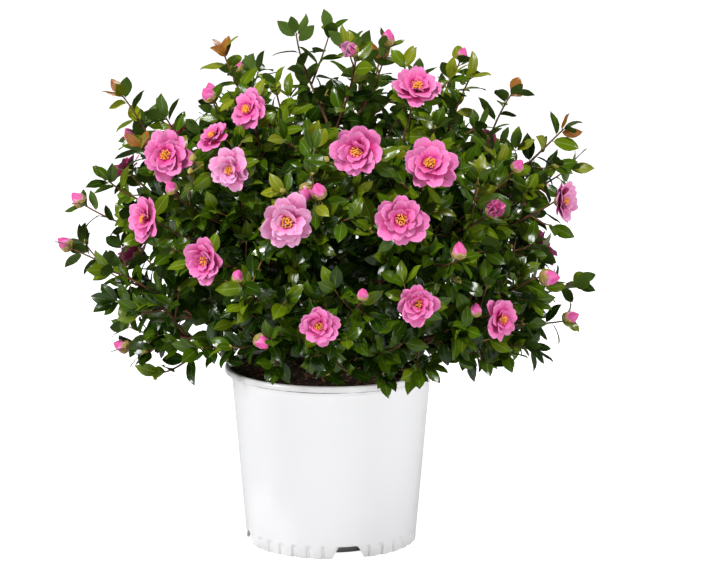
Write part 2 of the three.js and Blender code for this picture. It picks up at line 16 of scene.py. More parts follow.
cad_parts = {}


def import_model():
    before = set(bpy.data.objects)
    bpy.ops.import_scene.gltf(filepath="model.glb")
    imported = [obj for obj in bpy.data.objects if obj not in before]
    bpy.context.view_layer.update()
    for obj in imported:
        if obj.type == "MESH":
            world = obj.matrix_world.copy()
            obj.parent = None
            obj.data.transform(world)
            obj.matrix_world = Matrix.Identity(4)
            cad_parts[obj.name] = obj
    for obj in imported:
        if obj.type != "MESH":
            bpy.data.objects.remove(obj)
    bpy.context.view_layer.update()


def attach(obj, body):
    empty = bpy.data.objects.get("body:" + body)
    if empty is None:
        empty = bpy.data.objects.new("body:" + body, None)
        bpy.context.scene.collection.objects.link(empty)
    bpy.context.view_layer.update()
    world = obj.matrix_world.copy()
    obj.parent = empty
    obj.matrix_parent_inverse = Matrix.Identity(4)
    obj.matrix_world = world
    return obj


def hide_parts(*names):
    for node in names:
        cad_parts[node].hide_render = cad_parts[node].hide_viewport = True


log = logging.getLogger("camellia")

Colour = tuple[float, float, float]
Materials = Sequence[bpy.types.Material]
Spot = tuple[np.ndarray, np.ndarray, float]

MM = 0.001
UP = np.array([0.0, 0.0, 1.0])
FULL_TURN = 2 * math.pi
GOLDEN = math.pi * (3 - math.sqrt(5))
WORD = 0xFFFFFFFF


# ---------------------------------------------------------------- small helpers


class Seeded:
    """A run of numbers from 0 to 1 that is the same each time for the same seed."""

    step = 0x6D2B79F5

    def __init__(self, seed: int) -> None:
        """Starts the run at a seed."""
        self.state = seed & WORD

    def __call__(self) -> float:
        """Gives the next number of the run."""
        self.state = (self.state + self.step) & WORD
        mixed = self.state
        mixed = ((mixed ^ (mixed >> 15)) * (mixed | 1)) & WORD
        mixed ^= (mixed + (mixed ^ (mixed >> 7)) * (mixed | 61)) & WORD
        return ((mixed ^ (mixed >> 14)) & WORD) / (WORD + 1)

    def between(self, low: float, high: float) -> float:
        """Gives a number between two limits."""
        return low + (high - low) * self()

    def turn(self) -> float:
        """Gives an angle anywhere in a full turn, in radians."""
        return self.between(0, FULL_TURN)

    def direction(self) -> np.ndarray:
        """Gives a unit vector that points anywhere."""
        z, turn = self.between(-1, 1), self.turn()
        ring = math.sqrt(1 - z * z)
        return np.array([ring * math.cos(turn), ring * math.sin(turn), z])


def clamp(value: float, low: float = 0.0, high: float = 1.0) -> float:
    """Keeps a number between two limits."""
    return min(high, max(low, value))


def smooth(share: float) -> float:
    """Eases a share in at 0 and out at 1."""
    return share * share * (3 - 2 * share)


def unit(vector: np.ndarray) -> np.ndarray:
    """Gives a vector at length 1."""
    return vector / max(1e-12, float(np.linalg.norm(vector)))


def along_by(first: np.ndarray, second: np.ndarray) -> float:
    """Gives how far one vector reaches along another."""
    return float(np.dot(first, second))


def heading(turn: float, elevation: float) -> np.ndarray:
    """Gives a direction from its turn round the shrub and its elevation.

    Args:
        turn: Degrees round from the front, positive towards +X.
        elevation: Degrees above the horizontal.

    Returns:
        The unit vector.
    """
    turned, raised = math.radians(turn), math.radians(elevation)
    across = math.cos(raised)
    return np.array([across * math.sin(turned), -across * math.cos(turned), math.sin(raised)])


def facing_frame(along: np.ndarray, normal: np.ndarray) -> np.ndarray:
    """Gives the rotation whose X points along a direction and whose Z is nearest to a normal.

    Args:
        along: The unit direction of X.
        normal: The direction that Z stands nearest to.

    Returns:
        The 3 by 3 matrix with X, Y and Z as its columns.
    """
    z = normal - along * along_by(normal, along)
    if np.linalg.norm(z) < 1e-6:
        z = np.array([1.0, 0.0, 0.0]) - along * along[0]
    z = unit(z)
    return np.stack([along, np.cross(z, along), z], axis=1)


def around(frame: np.ndarray, turn: float) -> np.ndarray:
    """Gives the direction at a turn round a frame's X, in radians from its Y."""
    return frame[:, 1] * math.cos(turn) + frame[:, 2] * math.sin(turn)


class Curve:
    """A cubic curve through space, measured off along its length."""

    def __init__(self, points: Sequence[np.ndarray], samples: int = 48) -> None:
        """Samples the curve.

        Args:
            points: Its start, its two pulling points and its end.
            samples: How many steps it is measured in.
        """
        t = np.linspace(0, 1, samples + 1)[:, None]
        a, b, c, d = (np.asarray(p, float) for p in points)
        self.places = (1 - t) ** 3 * a + 3 * t * (1 - t) ** 2 * b + 3 * t * t * (1 - t) * c + t ** 3 * d
        steps = np.linalg.norm(np.diff(self.places, axis=0), axis=1)
        self.lengths = np.concatenate([[0.0], np.cumsum(steps)])
        self.length = float(self.lengths[-1])

    @classmethod
    def straight(cls, start: np.ndarray, end: np.ndarray) -> "Curve":
        """Draws the straight line from one point to another."""
        return cls([start, start + (end - start) / 3, start + (end - start) * 2 / 3, end])

    def at(self, share: float) -> np.ndarray:
        """Gives the point at a share of the length."""
        reach = clamp(share) * self.length
        return np.array([np.interp(reach, self.lengths, self.places[:, axis]) for axis in range(3)])

    def tangent(self, share: float) -> np.ndarray:
        """Gives the direction of travel at a share of the length."""
        return unit(self.at(share + 0.02) - self.at(share - 0.02))


# ---------------------------------------------------------------- the shrub's habit, in millimetres

LOW_BELOW = 30.0
TOP_FROM = 80.0


class Bears(Enum):
    """What a shoot bears at its tip."""

    LEAFY = "leafy"
    TUFT = "tuft"
    BUD = "bud"
    OPENING = "opening"
    BLOOM = "bloom"


@dataclass(frozen=True)
class Ring:
    """One ring of foliage masses round the shrub."""

    name: str
    count: int
    elevation: float
    turn: float


@dataclass(eq=False)
class Mass:
    """One foliage mass: a bough's own share of the crown."""

    name: str
    axis: np.ndarray
    ring: Ring
    order: int
    shoots: list["Shoot"] = field(default_factory=list)

    @property
    def bough(self) -> str:
        """The name of the bough that carries the mass."""
        return self.name.replace("crown", "bough")


@dataclass(eq=False)
class Shoot:
    """One shoot, from a mass's stem to the crown's edge."""

    tip: np.ndarray
    bears: Bears
    facing: Optional[np.ndarray]
    across: float
    seed: int = 0
    leave: float = 0.0
    placed: bool = False
    path: Optional[Curve] = None


@dataclass
class Habit:
    """The sizes and the rule by which trunk, boughs and shoots grow."""

    gap: float = 0.3
    mix_level: float = 234.0
    trunk_flare: float = 14.0
    trunk_radius: float = 8.5
    trunk_tip_radius: float = 5.5
    trunk_top: float = 292.0
    trunk_lean: float = 5.0
    flare_height: float = 16.0
    bough_start: float = 4.6
    bough_end: float = 4.0
    bough_reach: float = 125.0
    bough_heights: tuple[float, float] = (242.0, 266.0)
    bough_steps: tuple[float, float] = (12.0, 13.0)
    bough_pull: float = 0.35
    bough_rise: float = 0.05
    stem_end: float = 2.4
    stem_share: float = 0.6
    stem_crown: float = 0.9
    stem_most: float = 500.0
    fork: np.ndarray = field(default_factory=lambda: np.array([0.0, 0.0, 250.0]))
    centre: np.ndarray = field(default_factory=lambda: np.array([0.0, 0.0, 420.0]))
    half: np.ndarray = field(default_factory=lambda: np.array([365.0, 350.0, 300.0]))
    skirt_height: float = 215.0
    skirt_rise: float = 0.1
    skirt_front_rise: float = 0.07
    skirt_tip_above: float = 18.0
    rings: tuple[Ring, ...] = (
        Ring("crown_top", 1, 90, 0),
        Ring("crown_upper", 6, 45, 30),
        Ring("crown_lower", 8, 13, 32),
    )
    edge_swing: float = 46.0
    edge_pace: float = 2.4
    edge_forward: float = 120.0
    edge_sight: float = 0.19
    edge_shoots: tuple[tuple[float, float, str], ...] = (
        (-2, 244, "leafy"), (7, 290, "leafy"), (9, 330, "bud"), (17, 380, "leafy"),
        (39, 443, "leafy"), (45, 466, "tuft"), (56, 466, "tuft"), (64, 452, "leafy"),
        (80, 444, "bud"), (96, 472, "tuft"), (109, 464, "tuft"), (114, 402, "bud"),
        (124, 424, "leafy"), (128, 480, "tuft"), (132, 410, "bud"), (141, 412, "leafy"),
        (148, 408, "bud"), (157, 394, "bud"), (165, 332, "leafy"), (178, 292, "bud"),
        (185, 258, "leafy"),
    )
    front_reach: float = 0.92
    front_tips: tuple[tuple[str, float, float, float, float, float], ...] = (
        ("bloom", -211, 560, 66, -12, 12), ("bloom", -124, 552, 54, -22, 0),
        ("bloom", -146, 582, 46, -45, 45), ("bloom", -101, 618, 54, -35, 18),
        ("bloom", -250, 462, 60, -52, 4), ("bloom", -148, 412, 62, -30, 0),
        ("bloom", -50, 480, 72, 0, 6), ("bloom", 40, 578, 70, -20, 2),
        ("bloom", 112, 640, 66, 4, 44), ("bloom", 128, 554, 70, 4, 30),
        ("bloom", 90, 495, 70, 6, 6), ("bloom", 315, 457, 62, 60, 4),
        ("bloom", 112, 384, 56, 4, 8), ("bloom", 218, 351, 56, 42, 2),
        ("bloom", -14, 358, 52, 0, 8), ("opening", 218, 498, 34, 24, 30),
        ("opening", 36, 690, 30, -50, 20), ("bud", -30, 543, 24, 0, -60),
        ("bud", -12, 525, 24, -20, 60), ("bud", 174, 431, 24, 0, 80),
        ("bud", 286, 397, 28, 80, 0), ("bud", -205, 518, 20, -40, 60),
        ("bud", -97, 341, 24, 40, -30), ("bud", -157, 630, 22, -50, 50),
        ("bud", 244, 539, 20, 50, 50), ("bud", 193, 359, 20, 0, 70),
        ("bud", -121, 418, 18, 20, 60), ("bud", 48, 394, 18, 0, 60),
    )
    fill_points: int = 110
    fill_spacing: float = 62.0
    fill_nearest: float = 0.8
    fill_furthest: float = 0.95
    fill_seed: int = 516
    front_depth: float = -90.0
    bloom_ceiling: float = 540.0
    fill_kinds: dict[str, tuple[tuple[float, str], ...]] = field(
        default_factory=lambda: {
            "top": ((0.15, "bud"), (0.45, "tuft")),
            "back": ((0.4, "bloom"), (0.55, "bud"), (0.62, "tuft")),
            "front": ((0.1, "bud"),),
        }
    )
    bloom_across: float = 70.0
    bloom_sizes: tuple[float, float] = (0.74, 0.28)
    bud_length: float = 24.0
    bud_sizes: tuple[float, float] = (0.7, 0.3)
    leaf_length: float = 45.0
    stand_out: dict[Bears, float] = field(
        default_factory=lambda: {
            Bears.LEAFY: 0.8, Bears.TUFT: 0.72, Bears.BUD: 0.8, Bears.OPENING: 0.8, Bears.BLOOM: 0.2,
        }
    )
    least_room: float = 10.0
    shoot_pulls: tuple[float, float] = (0.32, 0.36)
    first_seed: int = 1000
    pot_reach: float = 146.5
    pot_clear: float = 244.0

    @property
    def trunk_foot(self) -> np.ndarray:
        """The middle of the trunk's foot, on the potting mix."""
        return np.array([0.0, 0.0, self.mix_level + self.gap])

    @property
    def trunk_tip(self) -> np.ndarray:
        """The middle of the trunk's top."""
        return np.array([self.trunk_lean, -self.trunk_lean / 2, self.trunk_top])

    def crown_share(self, point: np.ndarray) -> float:
        """Gives how far out a point lies in the crown, 1 at its edge."""
        return float(np.linalg.norm((point - self.centre) / self.half))

    def skirt(self, point: np.ndarray) -> float:
        """Gives the height of the crown's lower edge at a point."""
        out = math.hypot(point[0], point[1])
        return self.skirt_height + self.skirt_rise * out + self.skirt_front_rise * max(0.0, -point[1])

    def masses(self) -> list[Mass]:
        """Lays out the foliage masses, the top one first."""
        laid = []
        for ring in self.rings:
            for i in range(ring.count):
                name = f"{ring.name}_{i + 1}" if ring.count > 1 else ring.name
                laid.append(Mass(name, heading(ring.turn + i * 360 / ring.count, ring.elevation), ring, i))
        return laid

    def stem_reach(self, mass: Mass) -> float:
        """Gives how far a mass's stem reaches from the fork."""
        reach = self.bough_reach
        while self.crown_share(self.fork + mass.axis * reach) < self.stem_crown and reach < self.stem_most:
            reach += 5
        return self.bough_reach + self.stem_share * (reach - self.bough_reach)

    def bough_curve(self, mass: Mass) -> Curve:
        """Draws a bough's middle line.

        Args:
            mass: The mass at its end.

        Returns:
            The curve from the trunk to the mass.
        """
        is_top, tier = mass.ring.count == 1, int(mass.ring.elevation >= LOW_BELOW)
        height = self.bough_heights[tier] + (mass.order % 2) * self.bough_steps[tier]
        height = self.trunk_top if is_top else height
        share = (height - self.trunk_foot[2]) / (self.trunk_top - self.trunk_foot[2])
        start = self.trunk_foot + (self.trunk_tip - self.trunk_foot) * share
        end = self.fork + mass.axis * self.bough_reach
        length = float(np.linalg.norm(end - start))
        rise = 0.0 if is_top else self.bough_rise * length
        pull = mass.axis * self.bough_pull * length
        return Curve([start, start + pull + UP * rise, end - pull, end])

    def tips(self) -> list[Shoot]:
        """Sets out where every shoot ends and what it bears.

        Returns:
            The shoots, those of the crown's edge first, then the front's, then the fill.
        """
        shoots = []
        for i, (angle, reach, bears) in enumerate(self.edge_shoots):
            turned = math.radians(angle)
            low = angle < 0 or angle > 180
            depth = -self.edge_forward if low else self.edge_swing * math.sin(self.edge_pace * i)
            rise = reach * math.sin(turned) - self.edge_sight * depth
            tip = np.array([reach * math.cos(turned), depth, rise])
            across = self.bud_length if bears == "bud" else 0.0
            shoots.append(Shoot(self.fork + tip, Bears(bears), None, across))
        for bears, across, height, width, turn, tilt in self.front_tips:
            x, z = across / self.half[0], (height - self.centre[2]) / self.half[2]
            front = self.half[1] * math.sqrt(max(0.0, self.front_reach ** 2 - x * x - z * z))
            tip = np.array([across, -front, height])
            shoots.append(Shoot(tip, Bears(bears), heading(turn, tilt), width, placed=True))
        random = Seeded(self.fill_seed)
        for i in range(self.fill_points):
            share = random.between(self.fill_nearest, self.fill_furthest)
            chance, size = random(), random()
            z = 1 - 2 * (i + 0.5) / self.fill_points
            ring = math.sqrt(1 - z * z)
            out = np.array([ring * math.cos(GOLDEN * i), ring * math.sin(GOLDEN * i), z])
            tip = self.centre + out * self.half * share
            crowded = any(np.linalg.norm(other.tip - tip) < self.fill_spacing for other in shoots)
            if tip[2] < self.skirt(tip) + self.skirt_tip_above or crowded:
                continue
            bears = self.fill_bears(chance, tip)
            full, (least, more) = self.bud_length, self.bud_sizes
            if bears is Bears.BLOOM:
                full, (least, more) = self.bloom_across, self.bloom_sizes
            shoots.append(Shoot(tip, bears, None, full * (least + more * size)))
        return shoots

    def fill_bears(self, chance: float, tip: np.ndarray) -> Bears:
        """Picks what a fill shoot bears.

        Args:
            chance: A number from 0 to 1.
            tip: Where the shoot ends.

        Returns:
            What it bears; the front's blooms have their own places.
        """
        back = "top" if tip[2] > self.bloom_ceiling else "back"
        table = self.fill_kinds["front" if tip[1] < self.front_depth else back]
        return Bears(next((kind for share, kind in table if chance < share), "leafy"))

    def tip_length(self, shoot: Shoot) -> float:
        """Gives how far what a shoot bears stands out past its twig."""
        leafy = shoot.bears in (Bears.LEAFY, Bears.TUFT)
        return self.stand_out[shoot.bears] * (self.leaf_length if leafy else shoot.across)

    def kept_inside(self, tip: np.ndarray, mass: Mass, masses: list[Mass], room: float) -> np.ndarray:
        """Moves a tip in from the sides of its mass's space.

        Args:
            tip: Where the shoot ends.
            mass: The mass that it grows in.
            masses: All the masses.
            room: The radius that what it bears needs.

        Returns:
            The moved tip.
        """
        for _ in range(4):
            for other in masses:
                if other is mass:
                    continue
                side = unit(mass.axis - other.axis)
                short = room - along_by(tip - self.fork, side)
                if short > 0:
                    tip = tip + side * short
        return tip

    def shoot_curve(self, shoot: Shoot, mass: Mass) -> Curve:
        """Draws the line of a shoot from its mass's stem."""
        to_tip = shoot.tip - self.fork
        away = unit(to_tip)
        start_reach = self.bough_reach + 5
        start_reach += (self.stem_reach(mass) - 2 - start_reach) * shoot.leave
        start = self.fork + mass.axis * start_reach
        end = self.fork + away * (float(np.linalg.norm(to_tip)) - self.tip_length(shoot))
        length = float(np.linalg.norm(end - start))
        first, last = (pull * length for pull in self.shoot_pulls)
        return Curve([start, start + unit(shoot.tip - start) * first, end - away * last, end])

    def grow(self) -> list[Mass]:
        """Grows every shoot and shares them out among the masses.

        Returns:
            The masses with their shoots.
        """
        masses = self.masses()
        for i, shoot in enumerate(self.tips()):
            away = unit(shoot.tip - self.fork)
            mass = max(masses, key=lambda m: along_by(m.axis, away))
            room = shoot.across / 2 + 2 if shoot.bears is Bears.BLOOM else self.least_room
            shoot.tip = self.kept_inside(shoot.tip, mass, masses, room)
            shoot.seed = self.first_seed + i
            mass.shoots.append(shoot)
        for mass in masses:
            mass.shoots.sort(key=lambda s: along_by(unit(s.tip - self.fork), mass.axis))
            for i, shoot in enumerate(mass.shoots):
                shoot.leave = (i + 0.5) / len(mass.shoots)
                shoot.path = self.shoot_curve(shoot, mass)
        return masses


# ---------------------------------------------------------------- meshes joined from many copies


def linked(name: str, data: bpy.types.ID) -> bpy.types.Object:
    """Makes an object of some data and puts it in the scene."""
    made = bpy.data.objects.new(name, data)
    bpy.context.scene.collection.objects.link(made)
    return made


def object_from(bm: bmesh.types.BMesh, name: str, materials: Materials = ()) -> bpy.types.Object:
    """Makes a finished piece from a bmesh, and frees the bmesh.

    Args:
        bm: The shape, in metres, in its place.
        name: The piece's name.
        materials: Its materials, in the order of its slots.

    Returns:
        The object.
    """
    mesh = bpy.data.meshes.new(name)
    bm.to_mesh(mesh)
    bm.free()
    for material in materials:
        mesh.materials.append(material)
    return linked(name, mesh)


def turned(outline: Sequence[tuple[float, float]], steps: int) -> bmesh.types.BMesh:
    """Turns a section once about Z.

    Args:
        outline: The radius and the height of each of its points.
        steps: How many steps the turn has.

    Returns:
        The closed shape.
    """
    bm = bmesh.new()
    ring = [bm.verts.new((radius, 0.0, z)) for radius, z in outline]
    edges = [bm.edges.new(pair) for pair in zip(ring, ring[1:])]
    bmesh.ops.spin(
        bm, geom=ring + edges, cent=(0, 0, 0), axis=(0, 0, 1), angle=FULL_TURN, steps=steps, use_merge=True
    )
    bmesh.ops.remove_doubles(bm, verts=bm.verts[:], dist=1e-6)
    return bm


def to_metres(bm: bmesh.types.BMesh) -> None:
    """Scales a shape that was drawn in millimetres."""
    bmesh.ops.scale(bm, vec=(MM, MM, MM), verts=bm.verts[:])


class Template:
    """A small shape, kept as arrays, that a joined piece repeats."""

    def __init__(self, bm: bmesh.types.BMesh) -> None:
        """Reads a finished shape, and frees its bmesh."""
        mesh = bpy.data.meshes.new("template")
        bm.to_mesh(mesh)
        bm.free()
        self.places = self.read(mesh.vertices, "co", 3)
        self.edges = self.read(mesh.edges, "vertices", 2, np.int32)
        self.sharp = self.read(mesh.edges, "use_edge_sharp", 1, bool)
        self.corner_vertices = self.read(mesh.loops, "vertex_index", 1, np.int32)
        self.corner_edges = self.read(mesh.loops, "edge_index", 1, np.int32)
        self.starts = self.read(mesh.polygons, "loop_start", 1, np.int32)
        self.slots = self.read(mesh.polygons, "material_index", 1, np.int32)
        layer = mesh.uv_layers.active
        self.uv = self.read(layer.data, "uv", 2) if layer else np.zeros((len(self.corner_vertices), 2))
        bpy.data.meshes.remove(mesh)

    @staticmethod
    def read(items: bpy.types.bpy_prop_collection, name: str, width: int, kind: type = float) -> np.ndarray:
        """Reads one property of every item of a mesh as an array."""
        values = np.zeros(len(items) * width, dtype=kind)
        items.foreach_get(name, values)
        return values.reshape(-1, width) if width > 1 else values

    def with_slots(self, slots: np.ndarray) -> "Template":
        """Gives the same shape with other slots."""
        other = copy(self)
        other.slots = slots
        return other


class Joined:
    """One mesh object that is put together from many copies of templates."""

    def __init__(self, name: str, materials: Materials) -> None:
        """Starts an empty piece, with its materials in the order of its slots."""
        self.name = name
        self.materials = materials
        self.parts: dict[str, list[np.ndarray]] = {}
        self.vertices = self.edges = self.corners = 0

    def add(self, template: Template, places: np.ndarray, slots: np.ndarray) -> None:
        """Adds copies of a template.

        Args:
            template: The shape that is copied.
            places: The vertices of each copy, in metres, as copies by vertices by 3.
            slots: The number that is added to the template's slots, one for each copy.
        """
        copies = len(places)

        def moved(values: np.ndarray, first: int, step: int) -> np.ndarray:
            """Repeats an array of numbers, moved on by a step for each copy."""
            starts = first + step * np.arange(copies).reshape(-1, *[1] * values.ndim)
            return (values + starts).astype(np.int32).reshape(-1, *values.shape[1:])

        added = {
            "places": places.reshape(-1, 3).astype(np.float32),
            "edges": moved(template.edges, self.vertices, len(template.places)),
            "sharp": np.tile(template.sharp, copies),
            "corners": moved(template.corner_vertices, self.vertices, len(template.places)),
            "corner_edges": moved(template.corner_edges, self.edges, len(template.edges)),
            "starts": moved(template.starts, self.corners, len(template.corner_vertices)),
            "slots": (template.slots + slots[:, None]).astype(np.int32).ravel(),
            "uv": np.tile(template.uv, (copies, 1)).astype(np.float32),
        }
        for key, values in added.items():
            self.parts.setdefault(key, []).append(values)
        self.vertices += copies * len(template.places)
        self.edges += copies * len(template.edges)
        self.corners += copies * len(template.corner_vertices)

    def add_placed(
        self, template: Template, origins: Sequence[np.ndarray], frames: Sequence[np.ndarray],
        scales: Sequence[float], slots: Optional[Sequence[int]] = None,
    ) -> None:
        """Adds copies of a template, each turned, scaled and moved to its place.

        Args:
            template: The shape that is copied, in metres.
            origins: Where each copy's origin goes, in millimetres.
            frames: Each copy's rotation.
            scales: Each copy's scale.
            slots: The number added to the template's slots for each copy, or None for 0.
        """
        if not len(origins):
            return
        places = np.einsum("nij,vj->nvi", np.asarray(frames), template.places)
        places *= np.asarray(scales, float)[:, None, None]
        places += np.asarray(origins)[:, None, :] * MM
        self.add(template, places, np.asarray(slots or [0] * len(places), dtype=np.int32))

    def finish(self) -> bpy.types.Object:
        """Makes the mesh object.

        Returns:
            The object.
        """
        joined = {key: np.concatenate(values) for key, values in self.parts.items()}
        mesh = bpy.data.meshes.new(self.name)
        mesh.vertices.add(self.vertices)
        mesh.edges.add(self.edges)
        mesh.loops.add(self.corners)
        mesh.polygons.add(len(joined["starts"]))
        for items, name, key in (
            (mesh.vertices, "co", "places"),
            (mesh.edges, "vertices", "edges"),
            (mesh.loops, "vertex_index", "corners"),
            (mesh.loops, "edge_index", "corner_edges"),
            (mesh.polygons, "loop_start", "starts"),
            (mesh.polygons, "material_index", "slots"),
        ):
            items.foreach_set(name, joined[key].ravel())
        mesh.shade_smooth()
        mesh.edges.foreach_set("use_edge_sharp", joined["sharp"])
        mesh.uv_layers.new(name="along").data.foreach_set("uv", joined["uv"].ravel())
        mesh.update()
        mesh.validate()
        for material in self.materials:
            mesh.materials.append(material)
        return linked(self.name, mesh)


def dress(piece: bpy.types.Object, slot: str, *nodes: str) -> bpy.types.Object:
    """Hangs a piece on the part's one body and says what it stands for.

    Args:
        piece: The finished piece.
        slot: The record's material slot; not used.
        nodes: The solids that it stands for.

    Returns:
        The same piece.
    """
    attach(piece, "root")
    if nodes:
        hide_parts(*nodes)
    triangles = sum(len(face.vertices) - 2 for face in piece.data.polygons)
    log.info("%s: %d triangles, stands for %s", piece.name, triangles, ", ".join(nodes) or "nothing else")
    return piece


# ---------------------------------------------------------------- finishes


class NodeSheet:
    """A material or a node group with short ways to add and join nodes."""

    def __init__(self, tree: bpy.types.NodeTree) -> None:
        """Takes the node tree that is drawn on."""
        self.tree = tree

    def put(self, value: object, socket: bpy.types.NodeSocket) -> None:
        """Joins an output to an input, or sets the input's own value; a colour gets its alpha."""
        if isinstance(value, bpy.types.NodeSocket):
            self.tree.links.new(value, socket)
        else:
            socket.default_value = (*value, 1.0) if socket.type == "RGBA" else value

    def fill(self, node: bpy.types.Node, **values: object) -> bpy.types.Node:
        """Sets a node's properties and inputs.

        Args:
            node: The node.
            values: Its properties, and its inputs with spaces written as underscores.

        Returns:
            The same node.
        """
        for key, value in values.items():
            if key in node.bl_rna.properties:
                setattr(node, key, value)
            else:
                self.put(value, node.inputs[key.replace("_", " ")])
        return node

    def add(self, kind: str, **values: object) -> bpy.types.Node:
        """Adds a node by its type without the ShaderNode prefix, and fills it in."""
        return self.fill(self.tree.nodes.new(f"ShaderNode{kind}"), **values)

    def group(self, tree: bpy.types.NodeTree, **values: object) -> bpy.types.NodeOutputs:
        """Adds a shared node group and gives its outputs."""
        return self.add("Group", node_tree=tree, **values).outputs

    def place(self) -> bpy.types.NodeSocket:
        """Gives the place on the object."""
        return self.add("TexCoord").outputs["Object"]

    def ways(self) -> bpy.types.NodeOutputs:
        """Gives the way along and the way across that the piece's own map tells."""
        return self.add("SeparateXYZ", Vector=self.add("UVMap", uv_map="along").outputs[0]).outputs

    def math(self, operation: str, first: object, second: object = 0.0) -> bpy.types.NodeSocket:
        """Adds a Math node on two numbers or sockets."""
        node = self.add("Math", operation=operation)
        for socket, value in zip(node.inputs, (first, second)):
            self.put(value, socket)
        return node.outputs[0]

    def spread(
        self, value: bpy.types.NodeSocket,
        start: tuple[float, float] = (0.0, 1.0), end: tuple[float, float] = (0.0, 1.0),
    ) -> bpy.types.NodeSocket:
        """Maps a number from one run to another."""
        ends = {"From Min": start[0], "From Max": start[1], "To Min": end[0], "To Max": end[1]}
        return self.add("MapRange", Value=value, **ends).outputs[0]

    def bump(self, height: bpy.types.NodeSocket, strength: float, distance: float) -> bpy.types.NodeSocket:
        """Makes a height into a normal."""
        return self.add("Bump", Strength=strength, Distance=distance, Height=height).outputs[0]

    def ramp(self, value: bpy.types.NodeSocket, *stops: tuple[float, Colour]) -> bpy.types.NodeSocket:
        """Adds a colour ramp.

        Args:
            value: What it reads.
            stops: Its places from 0 to 1 and their colours.

        Returns:
            Its colour output.
        """
        node = self.add("ValToRGB", Fac=value)
        elements = node.color_ramp.elements
        while len(elements) < len(stops):
            elements.new(0.5)
        for element, (place, colour) in zip(elements, stops):
            element.position, element.color = place, (*colour, 1.0)
        return node.outputs[0]

    def mix(self, share: bpy.types.NodeSocket, first: object, second: object) -> bpy.types.NodeSocket:
        """Mixes two colours or sockets by how much of the second shows."""
        node = self.add("Mix", data_type="RGBA")
        for place, value in ((0, share), (6, first), (7, second)):
            self.put(value, node.inputs[place])
        return node.outputs[2]


class Effects:
    """The node groups that more than one finish uses."""

    def __init__(self) -> None:
        """Builds the groups once."""
        self.grain = self.build_grain()
        self.fibres = self.build_fibres()

    @staticmethod
    def start(
        name: str, inputs: dict[str, float], outputs: Sequence[str]
    ) -> tuple[NodeSheet, bpy.types.NodeOutputs]:
        """Starts a node group of plain numbers.

        Args:
            name: The group's name.
            inputs: The names and usual values of its inputs.
            outputs: The names of its outputs.

        Returns:
            The sheet to draw on, and what the group is given.
        """
        tree = bpy.data.node_groups.new(name, "ShaderNodeTree")
        for key, value in inputs.items():
            socket = tree.interface.new_socket(key, in_out="INPUT", socket_type="NodeSocketFloat")
            socket.default_value = value
        for key in outputs:
            tree.interface.new_socket(key, in_out="OUTPUT", socket_type="NodeSocketFloat")
        return NodeSheet(tree), tree.nodes.new("NodeGroupInput").outputs

    def build_grain(self) -> bpy.types.NodeTree:
        """Builds a fine uneven grain with broad mottling, fixed to the object."""
        inputs = {"Fine scale": 900.0, "Broad scale": 60.0}
        sheet, given = self.start("fine grain", inputs, ("Height", "Mottle"))
        place = sheet.place()
        fine = sheet.add("TexNoise", Vector=place, Scale=given["Fine scale"], Detail=3.0, Roughness=0.6)
        broad = sheet.add("TexNoise", Vector=place, Scale=given["Broad scale"], Detail=4.0, Roughness=0.55)
        mottle = sheet.spread(broad.outputs["Fac"], (0.32, 0.68))
        sheet.fill(sheet.tree.nodes.new("NodeGroupOutput"), Height=fine.outputs["Fac"], Mottle=mottle)
        return sheet.tree

    def build_fibres(self) -> bpy.types.NodeTree:
        """Builds lines that run along a petal or a twig, following its own map."""
        sheet, given = self.start("long fibres", {"Along": 2.0, "Across": 40.0}, ("Lines",))
        ways = sheet.ways()
        pairs = (("X", "Along"), ("Y", "Across"))
        x, y = (sheet.math("MULTIPLY", ways[axis], given[name]) for axis, name in pairs)
        stretched = sheet.add("CombineXYZ", X=x, Y=y).outputs[0]
        lines = sheet.add("TexNoise", Vector=stretched, Scale=1.0, Detail=2.0).outputs["Fac"]
        sheet.fill(sheet.tree.nodes.new("NodeGroupOutput"), Lines=lines)
        return sheet.tree


@dataclass(frozen=True)
class Finish(ABC):
    """A named finish with its main colour."""

    name: str
    colour: Colour

    @abstractmethod
    def draw(self, sheet: NodeSheet, effects: Effects) -> dict[str, object]:
        """Draws the finish, and gives the shader's inputs."""

    def make(self, effects: Effects) -> bpy.types.Material:
        """Makes the material.

        Args:
            effects: The node groups that it may use.

        Returns:
            The material.
        """
        material = bpy.data.materials.new(self.name)
        material.use_nodes = True
        material.diffuse_color = (*self.colour, 1.0)
        sheet = NodeSheet(material.node_tree)
        sheet.fill(material.node_tree.nodes["Principled BSDF"], **self.draw(sheet, effects))
        return material


@dataclass(frozen=True)
class LeafFinish(Finish):
    """Waxy leaf skin: one plain green for each age of leaf, the darker and paler ones also dealt out as
    painted shade and painted light, with a faint pebbled gloss.
    """

    roughness: float = 0.26
    relief: float = 0.12
    shine: float = 0.36

    def draw(self, sheet: NodeSheet, effects: Effects) -> dict[str, object]:
        """Draws a plain colour with an uneven gloss."""
        grain = sheet.group(effects.grain, Fine_scale=520.0, Broad_scale=90.0)
        gloss = (self.roughness - 0.05, self.roughness + 0.08)
        return {
            "Base Color": self.colour,
            "Specular IOR Level": self.shine,
            "Roughness": sheet.spread(grain["Mottle"], end=gloss),
            "Normal": sheet.bump(grain["Height"], self.relief, 0.0006),
        }


